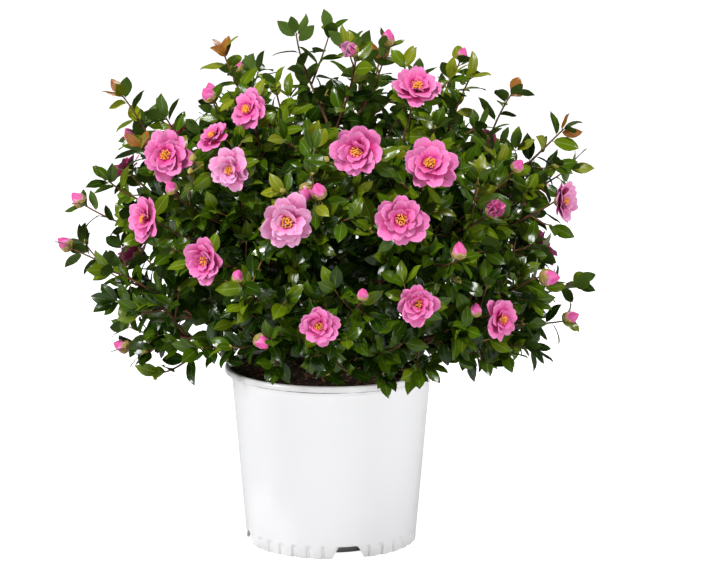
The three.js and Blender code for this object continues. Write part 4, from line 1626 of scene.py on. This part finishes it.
@dataclass
class Foliage:
    """The twigs and leaves of every mass, carried on from the shoots by the same rule, in millimetres."""

    habit: Habit
    internode: float = 13.0
    shoot_internode: float = 10.5
    shoot_leaves_from: float = 0.3
    twig_leaves_from: float = 0.16
    twig_leaf_size: float = 0.95
    leaf_sizes: tuple[float, float] = (0.8, 1.08)
    leaf_angles: tuple[float, float] = (46.0, 68.0)
    tip_sizes: tuple[float, float] = (0.9, 1.1)
    tip_stray: float = 5.0
    leaf_reach: float = 0.93
    side_gap: float = 18.0
    side_length: tuple[float, float] = (38.0, 84.0)
    side_from: float = 0.12
    side_reach: float = 0.935
    side_lean: float = 0.62
    side_out: float = 0.3
    side_rise: float = 0.12
    side_room: float = 14.0
    side_shrinks: tuple[float, ...] = (1.0, 0.75, 0.5)
    bough_from: float = 0.5
    stem_sides: tuple[int, int] = (8, 10)
    shoot_sides: tuple[int, int] = (6, 14)
    twig_sides: tuple[int, int] = (4, 5)
    shoot_radii: tuple[float, float, float] = (2.3, 2.0, 1.1)
    long_shoot: float = 120.0
    twig_radius: float = 1.45
    twig_taper: float = 0.4
    droop: float = 0.12
    stray: float = 0.12
    roll: float = 0.74
    edge_roll: float = 0.9
    face_out: float = 0.36
    face_up: float = 0.62
    face_along: float = 0.42
    rim_lift: float = 15.0
    rim_lift_most: float = 2.2
    rim_lift_to: float = 90.0
    rim_reach: float = 185.0
    skirt_hang: float = 10.0
    pot_front: tuple[float, float] = (-152.0, 62.0)
    corner_to: float = -95.0
    front_lift: float = 8.0
    corner_lift: float = 28.0
    furthest: tuple[float, float, float] = (366.0, 328.0, 716.0)
    open_from: float = 0.49
    open_depth: float = 0.27
    open_side: np.ndarray = field(default_factory=lambda: np.array([0.46, 0.0, 0.89]))
    open_side_depth: float = 0.26
    open_left: float = 0.2
    front_full: float = 0.55
    open_share: float = 0.93
    leaf_share: float = 0.985
    sight: np.ndarray = field(default_factory=lambda: np.array([0.0, -0.982, 0.19]))
    sight_from: float = -0.3
    bloom_near: float = 3.2
    bloom_behind: float = 3.0
    bloom_gap: float = 4.0
    tip_gain: float = 0.35
    # edge_* and *_light tilt the leaf greens by place: darker deep in the crown and low down as painted
    # shade, paler at its edge and top as painted light.
    edge_gain: float = 1.2
    edge_from: float = 0.83
    edge_most: float = 0.12
    light_gain: float = 0.42
    half_light: float = 440.0
    light_depth: float = 220.0
    least_light: float = -0.6
    age_from: tuple[tuple[LeafAge, float], ...] = (
        (LeafAge.YOUNG, 1.08), (LeafAge.SUNLIT, 0.78), (LeafAge.FULL, 0.34),
    )
    tip_whorls: dict[Bears, TipWhorl] = field(
        default_factory=lambda: {
            Bears.LEAFY: TipWhorl(4, 20, 9, 0.82), Bears.TUFT: TipWhorl(4, 17, 7, 0.74),
            Bears.BUD: TipWhorl(3, 50), Bears.OPENING: TipWhorl(3, 50), Bears.BLOOM: TipWhorl(5, 76),
        }
    )
    tuft_spread: float = 56.0
    green_share: float = 0.2
    seed: int = 500
    shapes: LeafShapes = field(default_factory=LeafShapes)
    leaves: dict[str, list[LeafPlace]] = field(default_factory=dict)
    blooms: list[Spot] = field(default_factory=list)
    green_buds: list[Spot] = field(default_factory=list)

    def outward(self, point: np.ndarray) -> np.ndarray:
        """Gives the way out from the crown's middle at a point."""
        return unit((point - self.habit.centre) / self.habit.half)

    def thinning(self, point: np.ndarray) -> float:
        """Gives the share of side twigs that a point goes without: none inside, most at the edge."""
        out = (point - self.habit.centre) / self.habit.half
        start = self.open_from + self.open_left * out[0]
        start -= self.open_side_depth * max(0.0, along_by(unit(out), self.open_side)) ** 2
        near = clamp((float(np.linalg.norm(out)) - start) / self.open_depth)
        bare = self.open_share * (1 - self.front_full * unit(out)[1] ** 2)
        return bare * smooth(near)

    def lift_at(self, point: np.ndarray) -> float:
        """Gives how far the crown's lower edge is raised at a point, to show the rim and the mix."""
        if math.hypot(point[0], point[1]) <= self.rim_reach:
            return self.rim_lift * clamp(1 - point[0] / self.rim_lift_to, 0.0, self.rim_lift_most)
        if self.pot_front[0] < point[0] < self.pot_front[1] and point[1] < 0:
            return self.front_lift if point[0] > self.corner_to else self.corner_lift
        return -self.skirt_hang

    def has_room(self, point: np.ndarray, limit: float) -> bool:
        """Tells whether a point lies in the crown and clear of the pot.

        Args:
            point: The point.
            limit: The furthest share of the crown that it may reach.

        Returns:
            True where it may be.
        """
        habit = self.habit
        over_pot = math.hypot(point[0], point[1]) < habit.pot_reach and point[2] < habit.pot_clear
        low = point[2] < habit.skirt(point) + self.lift_at(point)
        x, y, z = self.furthest
        wide = abs(point[0]) > x or abs(point[1]) > y or point[2] > z
        return habit.crown_share(point) < limit and not (low or over_pot or wide)

    def hides_bloom(self, start: np.ndarray, end: np.ndarray) -> bool:
        """Tells whether a leaf from one point to another hangs before a bloom."""
        for at, facing, radius in self.blooms:
            sights = (facing,) if facing[1] > self.sight_from else (facing, self.sight)
            for share in (0.25, 0.6, 1.0):
                off = start + (end - start) * share - at
                if np.dot(off, off) > (self.bloom_near * radius) ** 2:
                    continue
                for sight in sights:
                    ahead = along_by(off, sight)
                    aside = float(np.linalg.norm(off - sight * ahead))
                    if ahead > -self.bloom_behind and aside < radius + self.bloom_gap:
                        return True
        return False

    def add_leaf(
        self, twig: Twig, share: float, turn: float, spread: float, scale: float, age: LeafAge, limit: float
    ) -> None:
        """Sets one leaf on a twig, if it has room there.

        Args:
            twig: The twig.
            share: How far along the twig it sits.
            turn: Its turn round the twig, in radians.
            spread: Its angle off the twig, in degrees.
            scale: Its size, 1 for a full leaf.
            age: Its age.
            limit: The furthest share of the crown that its tip may reach.
        """
        random = twig.random
        at, tangent = twig.line.at(share), twig.line.tangent(share)
        side = around(facing_frame(tangent, UP + np.array([0.21, 0.13, 0.0])), turn)
        lean = math.radians(spread)
        along = tangent * math.cos(lean) + side * math.sin(lean) - self.droop * UP
        along = unit(along + self.stray * random.direction())
        tip = at + along * self.shapes.length * scale * self.leaf_reach
        if not self.has_room(tip, limit) or self.hides_bloom(at, tip):
            return
        light = unit(0.75 * self.outward(at) + UP)
        roll = self.roll + self.edge_roll * max(0.0, self.habit.crown_share(at) - 0.7)
        normal = self.face_up * light + self.face_along * tangent + roll * random.direction()
        normal = normal + np.array([0.0, math.copysign(self.face_out, at[1]), 0.0])
        shape = int(random() * self.shapes.variants)
        self.leaves[twig.mass.name].append(LeafPlace(at, along, normal, scale, age, shape))

    def age_and_painted_light(self, share: float, point: np.ndarray, random: Seeded) -> LeafAge:
        """Picks a leaf's age from its place: younger towards the twig's tip, darker deep in the crown and
        low down as painted shade, paler at the crown's edge and its top as painted light.

        Args:
            share: How far along its twig it sits.
            point: Where it sits.
            random: The run of numbers that it is drawn from.

        Returns:
            Its age.
        """
        outer = self.habit.crown_share(point)
        chance = random() + self.tip_gain * (share - 0.5)
        # Painted shade deep in the crown and low down, painted light at its edge and its top.
        chance += self.edge_gain * min(self.edge_most, outer - self.edge_from)
        chance += self.light_gain * clamp((point[2] - self.half_light) / self.light_depth, self.least_light)
        return next((age for age, least in self.age_from if chance > least), LeafAge.OLD)

    def clothe(self, twig: Twig, begin: float, tip: Bears) -> None:
        """Sets leaves along a twig and round its tip.

        Args:
            twig: The twig.
            begin: The share of its length where the leaves begin.
            tip: What the twig bears.
        """
        line, random = twig.line, twig.random
        count = max(2, round(line.length * (1 - begin) / twig.internode))
        turn = random.turn()
        for i in range(count):
            share = begin + (0.97 - begin) * (i + random.between(-0.2, 0.2)) / count
            age = self.age_and_painted_light(share, line.at(share), random)
            scale = twig.leaf_size * random.between(*self.leaf_sizes) * (1 - 0.1 * share)
            turn += GOLDEN + random.between(-0.3, 0.3)
            self.add_leaf(twig, share, turn, random.between(*self.leaf_angles), scale, age, twig.limit)
        whorl = self.tip_whorls[tip]
        for i in range(whorl.count):
            spread, share = whorl.spread + whorl.spread_step * i, 0.995 - 0.012 * i
            if tip is not Bears.TUFT:
                age = self.age_and_painted_light(1.0, line.at(share), random)
            else:
                age, spread = (LeafAge.BRONZE, spread) if i else (LeafAge.YOUNG, self.tuft_spread)
            scale = twig.leaf_size * whorl.size * random.between(*self.tip_sizes)
            turn += GOLDEN
            spread += random.between(-self.tip_stray, self.tip_stray)
            self.add_leaf(twig, share, turn, spread, scale, age, max(twig.limit, 1.0))

    def side_twigs(self, curve: Curve, begin: float, random: Seeded) -> Iterable[Curve]:
        """Grows the side twigs of a limb.

        Args:
            curve: The limb's line.
            begin: The share of its length where they begin.
            random: The run of numbers that they are drawn from.

        Yields:
            Each side twig's line.
        """
        count = round(curve.length * (1 - begin) / self.side_gap)
        turn = random.turn()
        for i in range(count):
            share = begin + (0.92 - begin) * (i + random.between(0.1, 0.9)) / max(1, count)
            at, tangent = curve.at(share), curve.tangent(share)
            turn += GOLDEN + random.between(-0.4, 0.4)
            side = around(facing_frame(tangent, UP + np.array([0.11, 0.23, 0.0])), turn)
            along = unit(self.side_lean * tangent + side + self.side_out * self.outward(at))
            length = random.between(*self.side_length) * (1.12 - 0.45 * share)
            for shrink in self.side_shrinks:
                end = at + along * length * shrink + UP * self.side_rise * length * shrink
                roomy = self.has_room(end + along * self.side_room, self.side_reach)
                if roomy and random() > self.thinning(end):
                    third = length * shrink / 3
                    yield Curve([at, at + along * third, end - unit(along + 0.5 * UP) * third, end], 16)
                    break

    def grow(self, masses: list[Mass], blooms: list[Spot], limbs: Limbs) -> None:
        """Grows the twigs and sets out the leaves of every mass.

        Args:
            masses: The masses with their shoots.
            blooms: Each bloom's middle, the way it faces and its radius.
            limbs: The piece that the twigs go into.
        """
        self.blooms = blooms
        habit = self.habit
        for mass in masses:
            self.leaves[mass.name] = []
            start = habit.fork + mass.axis * (habit.bough_reach - 1)
            stem = Curve.straight(start, habit.fork + mass.axis * habit.stem_reach(mass))
            limbs.add(stem, taper(habit.bough_end, habit.stem_end), *self.stem_sides)
            inner = Seeded(self.seed + 20 * len(mass.shoots) + mass.order)
            self.branch(mass, habit.bough_curve(mass), self.bough_from, inner, limbs)
            self.branch(mass, stem, 0.0, inner, limbs)
            for shoot in mass.shoots:
                random = Seeded(shoot.seed)
                thick, thin, end = self.shoot_radii
                start = thick if shoot.path.length > self.long_shoot else thin
                limbs.add(shoot.path, taper(start, end), *self.shoot_sides)
                edge = shoot.tip if shoot.facing is None else None
                limit = self.leaf_share if edge is None else max(1.0, habit.crown_share(edge)) + 0.07
                twig = Twig(mass, shoot.path, random, limit, 1.0, self.shoot_internode)
                self.clothe(twig, self.shoot_leaves_from, shoot.bears)
                self.branch(mass, shoot.path, self.side_from, random, limbs)

    def twig_radius_at(self, share: float) -> float:
        """Gives a side twig's radius at a share of its length."""
        return self.twig_radius * (1 - self.twig_taper * share)

    def branch(self, mass: Mass, curve: Curve, begin: float, random: Seeded, limbs: Limbs) -> None:
        """Grows the side twigs of a limb with their leaves.

        Args:
            mass: The mass that they belong to.
            curve: The limb's line.
            begin: The share of its length where they begin.
            random: The run of numbers that they are drawn from.
            limbs: The piece that the twigs go into.
        """
        for line in self.side_twigs(curve, begin, random):
            limbs.add(line, self.twig_radius_at, *self.twig_sides, 1)
            twig = Twig(mass, line, random, self.leaf_share, self.twig_leaf_size, self.internode)
            self.clothe(twig, self.twig_leaves_from, Bears.LEAFY)
            if random() < self.green_share:
                self.green_buds.append((line.at(1.0), line.tangent(1.0), random.between(0.75, 1.2)))

    def build_leaves(self, groups: dict[str, list[Mass]], palette: Palette) -> None:
        """Joins the leaves into a few pieces.

        Args:
            groups: The masses of each piece, by the piece's name.
            palette: The finishes.
        """
        shapes = self.shapes.make()
        materials = palette.make(*(finish for pair in palette.leaves for finish in pair), palette.underside)
        for name, masses in groups.items():
            joined = Joined(name, materials)
            places = [place for mass in masses for place in self.leaves[mass.name]]
            for age in LeafAge:
                for number, shape in enumerate(shapes):
                    mine = [p for p in places if p.shape == number and p.age is age]
                    slots = np.where(shape.slots == 2, len(materials) - 1, shape.slots + 2 * age.value)
                    frames = [facing_frame(p.along, p.normal) for p in mine]
                    spots, scales = [p.at for p in mine], [p.scale for p in mine]
                    joined.add_placed(shape.with_slots(slots), spots, frames, scales)
            log.info("%s: %d leaves", name, len(places))
            dress(joined.finish(), "foliage", *(mass.name for mass in masses))


# ---------------------------------------------------------------- blooms and buds


@dataclass(frozen=True)
class Whorl:
    """One ring of petals."""

    petals: int
    length: float
    width: float
    tilt: float
    curl: float
    cup: float
    ripple: float
    slot: int


@dataclass
class Blooms:
    """Open and opening blooms: whorls of wavy notched petals round a boss of stamens, in millimetres."""

    habit: Habit
    whorls: tuple[Whorl, ...] = (
        Whorl(8, 38, 29, 4, 8, 0.1, 1.6, 0),
        Whorl(7, 32, 25, 20, 20, 0.13, 1.9, 0),
        Whorl(6, 24, 19, 36, 24, 0.16, 1.8, 1),
        Whorl(4, 15, 11, 52, 20, 0.22, 1.3, 1),
    )
    seed: int = 907
    petal_sizes: tuple[float, float] = (0.86, 1.1)
    cupping: tuple[float, float] = (-2.0, 20.0)
    tilt_stray: float = 11.0
    closed_tilt: float = 84.0
    closed_share: float = 0.92
    drawn_across: float = 74.0
    opening_across: float = 44.0
    opening_whorls: int = 3
    stand_out: float = 0.14
    thickness: float = 0.5
    variants: int = 4
    roll: np.ndarray = field(default_factory=lambda: np.array([0.31, 0.17, 1.0]))
    stamens: int = 60
    stamen_length: tuple[float, float] = (12.5, 16.0)
    boss_radius: float = 3.4
    stamens_across: float = 70.0
    rows: tuple[float, ...] = (0.0, 0.24, 0.48, 0.7, 0.88, 1.0)
    columns: tuple[float, ...] = (-1.0, -0.86, -0.58, -0.28, 0.0, 0.28, 0.58, 0.86, 1.0)

    @staticmethod
    def half_width(share: float) -> float:
        """Gives a petal's half width at a share of its length, broadest past the middle."""
        if share < 0.7:
            return 0.26 + 0.74 * math.sin(math.pi / 2 * share / 0.7) ** 1.25
        return 1 - 0.1 * ((share - 0.7) / 0.3) ** 2

    def petal(self, whorl: Whorl, random: Seeded) -> Template:
        """Makes one petal of a whorl.

        Args:
            whorl: The whorl.
            random: The run of numbers that it is drawn from.

        Returns:
            The petal, whose slots are 0 on both sides.
        """
        phase, waves = random.between(0, 6), random.between(2.2, 3.6)
        curl = math.radians(whorl.curl * random.between(0.7, 1.3))
        notch = whorl.length * random.between(0.04, 0.12)
        half = whorl.width / 2

        def rise(share: float, side: float) -> float:
            """Cups the petal across and ripples its outer edge."""
            across = side * self.half_width(share) * half
            ripple = whorl.ripple * math.sin(waves * side + phase + 2 * share) * share ** 2
            flute = 0.12 * whorl.ripple * math.sin(2.6 * waves * side + phase) * share ** 3
            return whorl.cup * across * across / half * (1.2 - share) + ripple + flute

        def end_shape(share: float, side: float) -> float:
            """Rounds the petal's end and notches its middle."""
            rounding = 0.5 * whorl.length * share ** 2.4 * (1 - math.sqrt(1 - 0.94 * side * side))
            return -rounding - notch * share ** 5 * math.exp(-((side / 0.24) ** 2))

        blade = Blade(
            length=whorl.length, width=whorl.width, half_width=self.half_width, rise=rise,
            bend=lambda share: curl * (0.55 - 1.25 * share), rows=self.rows,
            upper_columns=self.columns, lower_columns=self.columns, thickness=self.thickness,
            upper_slots=(0,) * (len(self.columns) - 1), lower_slot=3, end_shape=end_shape,
        )
        return blade.template()

    def centre(self, shoot: Shoot) -> np.ndarray:
        """Gives the middle of the bloom at a shoot's tip."""
        return shoot.path.at(1.0) + self.facing(shoot) * self.stand_out * shoot.across

    def facing(self, shoot: Shoot) -> np.ndarray:
        """Gives the way that a shoot's bloom or bud faces."""
        if shoot.facing is not None:
            return shoot.facing
        return unit(unit(shoot.tip - self.habit.fork) + 0.3 * UP)

    def places(self, masses: list[Mass]) -> list[Spot]:
        """Lists each bloom's and each placed bud's middle, the way it faces and its radius."""
        found = []
        for shoot in (shoot for mass in masses for shoot in mass.shoots):
            if shoot.bears is Bears.BLOOM:
                found.append((self.centre(shoot), self.facing(shoot), shoot.across / 2))
            elif shoot.bears is not Bears.LEAFY and shoot.placed:
                found.append((shoot.path.at(1.0), self.facing(shoot), 0.3 * shoot.across))
        return found

    def build(self, masses: list[Mass], palette: Palette) -> None:
        """Builds the petals and the stamens of every bloom.

        Args:
            masses: The masses with their shoots.
            palette: The finishes.
        """
        random = Seeded(self.seed)
        petals = [[self.petal(whorl, random) for _ in range(self.variants)] for whorl in self.whorls]
        joined = Joined("petals", palette.make(*palette.petals))
        stamens = Joined("stamens", palette.make(palette.filament, palette.anther))
        stalk, head = self.filament(), self.anther()
        for shoot in (shoot for mass in masses for shoot in mass.shoots):
            if shoot.bears in (Bears.BLOOM, Bears.OPENING):
                self.add_bloom(joined, petals, shoot, Seeded(shoot.seed * 7), shoot.bears is Bears.OPENING)
            if shoot.bears is Bears.BLOOM:
                self.add_stamens(stamens, stalk, head, shoot, Seeded(shoot.seed * 11))
        dress(joined.finish(), "foliage")
        dress(stamens.finish(), "foliage")

    def add_bloom(
        self, joined: Joined, petals: list[list[Template]], shoot: Shoot, random: Seeded, closed: bool
    ) -> None:
        """Adds one bloom's petals.

        Args:
            joined: The piece that they go into.
            petals: The petals of each whorl.
            shoot: The shoot that bears the bloom.
            random: The run of numbers that it is drawn from.
            closed: Whether it is a bud that opens, whose petals stand nearly straight.
        """
        facing = self.facing(shoot)
        frame = facing_frame(facing, self.roll)
        size = shoot.across / (self.opening_across if closed else self.drawn_across)
        back = shoot.path.at(1.0) if closed else self.centre(shoot) - facing * 5 * size
        fading = 2 if (shoot.seed % 5 == 2) else 0
        cupped = random.between(*self.cupping)
        for order, whorl in enumerate(self.whorls[:self.opening_whorls] if closed else self.whorls):
            begin = random.turn()
            for i in range(whorl.petals):
                turn = begin + FULL_TURN * (i + random.between(-0.16, 0.16)) / whorl.petals
                stray = random.between(-self.tilt_stray, self.tilt_stray)
                tilt = whorl.tilt + cupped + stray + (7 if i % 2 else 0)
                lean = math.radians(tilt + (self.closed_tilt - tilt) * self.closed_share if closed else tilt)
                out = around(frame, turn)
                along = unit(out * math.cos(lean) + facing * math.sin(lean))
                normal = unit(facing * math.cos(lean) - out * math.sin(lean)) + 0.3 * random.direction()
                at = back + out * 1.6 * size + facing * (1.1 * order * size)
                shape = petals[order][int(random() * self.variants)]
                shape = shape.with_slots(np.full_like(shape.slots, fading or whorl.slot))
                scale = size * random.between(*self.petal_sizes)
                joined.add_placed(shape, [at], [facing_frame(along, normal)], [scale])

    @staticmethod
    def filament() -> Template:
        """Makes one filament, lying along X, of unit length."""
        bm = bmesh.new()
        bmesh.ops.create_cone(bm, cap_ends=True, segments=4, radius1=0.00042, radius2=0.00028, depth=0.001)
        bmesh.ops.translate(bm, verts=bm.verts[:], vec=(0, 0, 0.0005))
        bmesh.ops.rotate(bm, verts=bm.verts[:], cent=(0, 0, 0), matrix=Matrix.Rotation(math.pi / 2, 3, "Y"))
        return Template(bm)

    @staticmethod
    def anther() -> Template:
        """Makes one anther, lying along X."""
        bm = bmesh.new()
        bmesh.ops.create_icosphere(bm, subdivisions=1, radius=0.001)
        bmesh.ops.scale(bm, vec=(1.25, 0.8, 0.8), verts=bm.verts[:])
        return Template(bm)

    def add_stamens(
        self, joined: Joined, stalk: Template, head: Template, shoot: Shoot, random: Seeded
    ) -> None:
        """Adds one bloom's stamens.

        Args:
            joined: The piece that they go into.
            stalk: The shape of a filament.
            head: The shape of an anther.
            shoot: The shoot that bears the bloom.
            random: The run of numbers that they are drawn from.
        """
        facing = self.facing(shoot)
        frame = facing_frame(facing, self.roll)
        size = shoot.across / self.stamens_across
        back = self.centre(shoot) - facing * 4 * size
        feet, stretched, ends, frames = [], [], [], []
        for i in range(self.stamens):
            out = math.sqrt((i + 0.5) / self.stamens)
            side = around(frame, GOLDEN * i + random.between(-0.3, 0.3))
            feet.append(back + side * self.boss_radius * out * size)
            length = size * random.between(*self.stamen_length) * (1.05 - 0.2 * out)
            along = unit(facing + side * 0.32 * out + 0.1 * random.direction())
            stretched.append(facing_frame(along, side) * (length, 1, 1))
            ends.append(feet[-1] + along * length)
            frames.append(facing_frame(unit(along + 0.5 * random.direction()), side))
        joined.add_placed(stalk, feet, stretched, [1.0] * self.stamens)
        joined.add_placed(head, ends, frames, [size * 1.1] * self.stamens, [1] * self.stamens)


@dataclass
class Buds:
    """Pink flower buds in their scales, and small green ones, in millimetres."""

    blooms: Blooms
    furl: float = 0.2
    petals: int = 3
    scales: int = 5
    sides: tuple[int, int] = (16, 8)
    green_length: float = 11.0
    opening_share: float = 0.7
    calyx_share: float = 0.3

    @staticmethod
    def girth(share: float) -> float:
        """Gives the radius of a bud 1 mm long at a share of its length: round at the foot, then pointed."""
        return 0.38 * math.sin(math.pi * share ** 0.74) ** 0.74 if 0 < share < 1 else 0.0

    def body(self, sides: int) -> Template:
        """Makes a bud of furled petals, lying along X, 1 mm long.

        Args:
            sides: How many sides it has.

        Returns:
            The bud, its foot at the origin, mapped from each petal's deep edge to its pale middle.
        """
        bm = bmesh.new()
        layer = bm.loops.layers.uv.verify()
        bmesh.ops.create_uvsphere(bm, u_segments=sides, v_segments=sides * 2 // 3, radius=1.0)
        bmesh.ops.recalc_face_normals(bm, faces=bm.faces[:])
        pale = {}
        for vertex in bm.verts:
            share = (vertex.co.z + 1) / 2
            turn = math.atan2(vertex.co.y, vertex.co.x)
            spiral = (turn * self.petals / FULL_TURN + 1.8 * share) % 1.0
            girth = self.girth(share) * (1 + self.furl * (spiral - 0.5) * min(1.0, 3 * share))
            pale[vertex] = (0.25 + 0.75 * spiral) * min(1.0, 1.35 - share)
            vertex.co = Vector((share, girth * math.cos(turn), girth * math.sin(turn)))
        to_metres(bm)
        bmesh.ops.recalc_face_normals(bm, faces=bm.faces[:])
        for face in bm.faces:
            for loop in face.loops:
                loop[layer].uv = (pale[loop.vert], loop.vert.co.y / MM + 0.5)
        return Template(bm)

    def cup(self, rim: float, snug: float) -> Template:
        """Makes a cup of scales that hugs a bud's foot, for a bud 1 mm long.

        Args:
            rim: How far along the bud its scales reach.
            snug: How much wider it is than the bud.

        Returns:
            The cup, its foot at the origin, its edge turned in on the bud.
        """
        bm = bmesh.new()
        bmesh.ops.create_grid(bm, x_segments=5, y_segments=4 * self.scales, size=1.0)
        for vertex in bm.verts:
            row, turn = (vertex.co.x + 1) / 2, math.pi * vertex.co.y
            scale = 0.62 + 0.38 * abs(math.cos(self.scales * turn / 2)) ** 0.8
            share = rim * scale * min(1.0, 1.25 * row)
            girth = self.girth(share) * snug * (0.86 if row > 0.9 else 1.0)
            vertex.co = Vector((share - 0.02, girth * math.cos(turn), girth * math.sin(turn)))
        bmesh.ops.remove_doubles(bm, verts=bm.verts[:], dist=1e-5)
        to_metres(bm)
        bmesh.ops.recalc_face_normals(bm, faces=bm.faces[:])
        return Template(bm)

    def build(self, masses: list[Mass], green: list[Spot], palette: Palette) -> bpy.types.Object:
        """Builds every bud.

        Args:
            masses: The masses with their shoots.
            green: The place, the direction and the size of each small green bud.
            palette: The finishes.

        Returns:
            The buds, as one piece.
        """
        joined = Joined("buds", palette.make(palette.petals[2], palette.calyx, palette.green_bud))
        body, small = (self.body(sides) for sides in self.sides)
        inner, outer, wrap = self.cup(0.52, 1.07), self.cup(0.3, 1.16), self.cup(0.86, 1.1)

        def add(seed: int, spot: Spot, *parts: tuple[Template, int]) -> None:
            """Adds one bud at its foot, with its direction and length, from shapes and their slots."""
            random = Seeded(seed)
            at, along, length = spot
            for shape, slot in parts:
                frame = facing_frame(along, UP + random.direction())
                joined.add_placed(shape, [at], [frame], [length], [slot])

        for shoot in (shoot for mass in masses for shoot in mass.shoots):
            facing, across = self.blooms.facing(shoot), shoot.across
            if shoot.bears in (Bears.BUD, Bears.OPENING):
                length = across * (self.opening_share if shoot.bears is Bears.OPENING else 1.0)
                add(shoot.seed, (shoot.path.at(1.0), facing, length), (body, 0), (inner, 1), (outer, 1))
            elif shoot.bears is Bears.BLOOM:
                foot = self.blooms.centre(shoot) - facing * 0.16 * across
                add(shoot.seed, (foot, facing, self.calyx_share * across), (inner, 1))
        for at, along, size in green:
            add(int(at[0] * 31 + at[2]), (at, along, self.green_length * size), (small, 2), (wrap, 2))
        return dress(joined.finish(), "foliage")


# ---------------------------------------------------------------- studio


@dataclass
class Studio:
    """The pale floor, the soft lights and the camera, in metres and degrees."""

    distance: float = 4.287
    height: float = 1.176
    aside: float = 0.0267
    pitch: float = 11.0
    lens: float = 167.6
    sensor: float = 36.0
    aim: tuple[float, float, float] = (0.0, 0.0, 0.38)
    floor_size: float = 15.0
    room_light: float = 0.16
    room_shine: float = 0.05
    lights: tuple[tuple[str, tuple[float, float, float], float, float], ...] = (
        ("key light", (-0.9, -1.7, 3.4), 0.45, 116),
        ("left light", (-3.2, -1.9, 0.75), 1.1, 87),
        ("right light", (3.2, -1.9, 0.75), 1.1, 83),
        ("front light", (0.5, -4.2, 1.2), 1.0, 8),
        ("back light", (0.6, 1.6, 2.6), 1.0, 26),
    )

    def build_floor(self, palette: Palette) -> None:
        """Lays the pale floor."""
        bm = bmesh.new()
        bmesh.ops.create_grid(bm, x_segments=4, y_segments=4, size=self.floor_size)
        object_from(bm, "floor", palette.make(palette.floor))

    def build_light(self, name: str, place: tuple[float, float, float], size: float, power: float) -> None:
        """Hangs one soft light that looks at the shrub.

        Args:
            name: The light's name.
            place: Where it hangs.
            size: The width of its face.
            power: Its power in watts.
        """
        data = bpy.data.lights.new(name, "AREA")
        data.shape, data.size, data.energy = "DISK", size, power
        lamp = linked(name, data)
        lamp.location = place
        lamp.rotation_euler = (Vector(self.aim) - Vector(place)).to_track_quat("-Z", "Y").to_euler()

    def build_world(self) -> None:
        """Surrounds the scene with white, dimmer as a light than it looks."""
        world = bpy.data.worlds.new("white room")
        world.use_nodes = True
        sheet = NodeSheet(world.node_tree)
        rays = sheet.add("LightPath").outputs
        dimmed = sheet.math("MULTIPLY", rays["Is Glossy Ray"], self.room_shine - self.room_light)
        lit = sheet.math("MAXIMUM", rays["Is Camera Ray"], sheet.math("ADD", dimmed, self.room_light))
        sheet.fill(world.node_tree.nodes["Background"], Color=(1.0, 1.0, 1.0), Strength=lit)
        bpy.context.scene.world = world

    def build(self, palette: Palette) -> None:
        """Builds the floor, the lights and the camera.

        Args:
            palette: The finishes.
        """
        self.build_floor(palette)
        for name, place, size, power in self.lights:
            self.build_light(name, place, size, power)
        self.build_world()
        data = bpy.data.cameras.new("camera")
        data.lens, data.sensor_width = self.lens, self.sensor
        camera = linked("camera", data)
        camera.location = (self.aside, -self.distance, self.height)
        camera.rotation_euler = (math.radians(90 - self.pitch), 0, 0)
        bpy.context.scene.camera = camera
        bpy.context.scene.view_settings.view_transform = "Standard"


# ---------------------------------------------------------------- the whole shrub


def main() -> None:
    """Builds the shrub piece by piece."""
    logging.basicConfig(level=logging.INFO, format="%(name)s: %(message)s")
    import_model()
    palette, habit = Palette(), Habit()
    masses = habit.grow()
    Pot().build(palette)
    mix = PottingMix()
    mix.build_bed(palette)
    mix.build_chips(palette)
    Wood(habit).build(masses, palette)
    blooms = Blooms(habit)
    foliage = Foliage(habit)
    twigs = Limbs("twigs", palette.make(palette.twig, palette.new_twig))
    foliage.grow(masses, blooms.places(masses), twigs)
    dress(twigs.finish(), "bark")
    lower = [mass for mass in masses if mass.ring.elevation < LOW_BELOW]
    upper = [mass for mass in masses if LOW_BELOW <= mass.ring.elevation < TOP_FROM]
    groups = {
        "leaves_lower_front": [m for m in lower if m.axis[1] < 0],
        "leaves_lower_back": [m for m in lower if m.axis[1] >= 0],
        "leaves_upper_front": [m for m in upper if m.axis[1] < -0.1],
        "leaves_upper_sides": [m for m in upper if -0.1 <= m.axis[1] < 0.1],
        "leaves_upper_back": [m for m in upper if m.axis[1] >= 0.1],
        "leaves_top": [m for m in masses if m.ring.elevation >= TOP_FROM],
    }
    foliage.build_leaves(groups, palette)
    blooms.build(masses, palette)
    Buds(blooms).build(masses, foliage.green_buds, palette)
    Studio().build(palette)


if __name__ == "__main__":
    main()
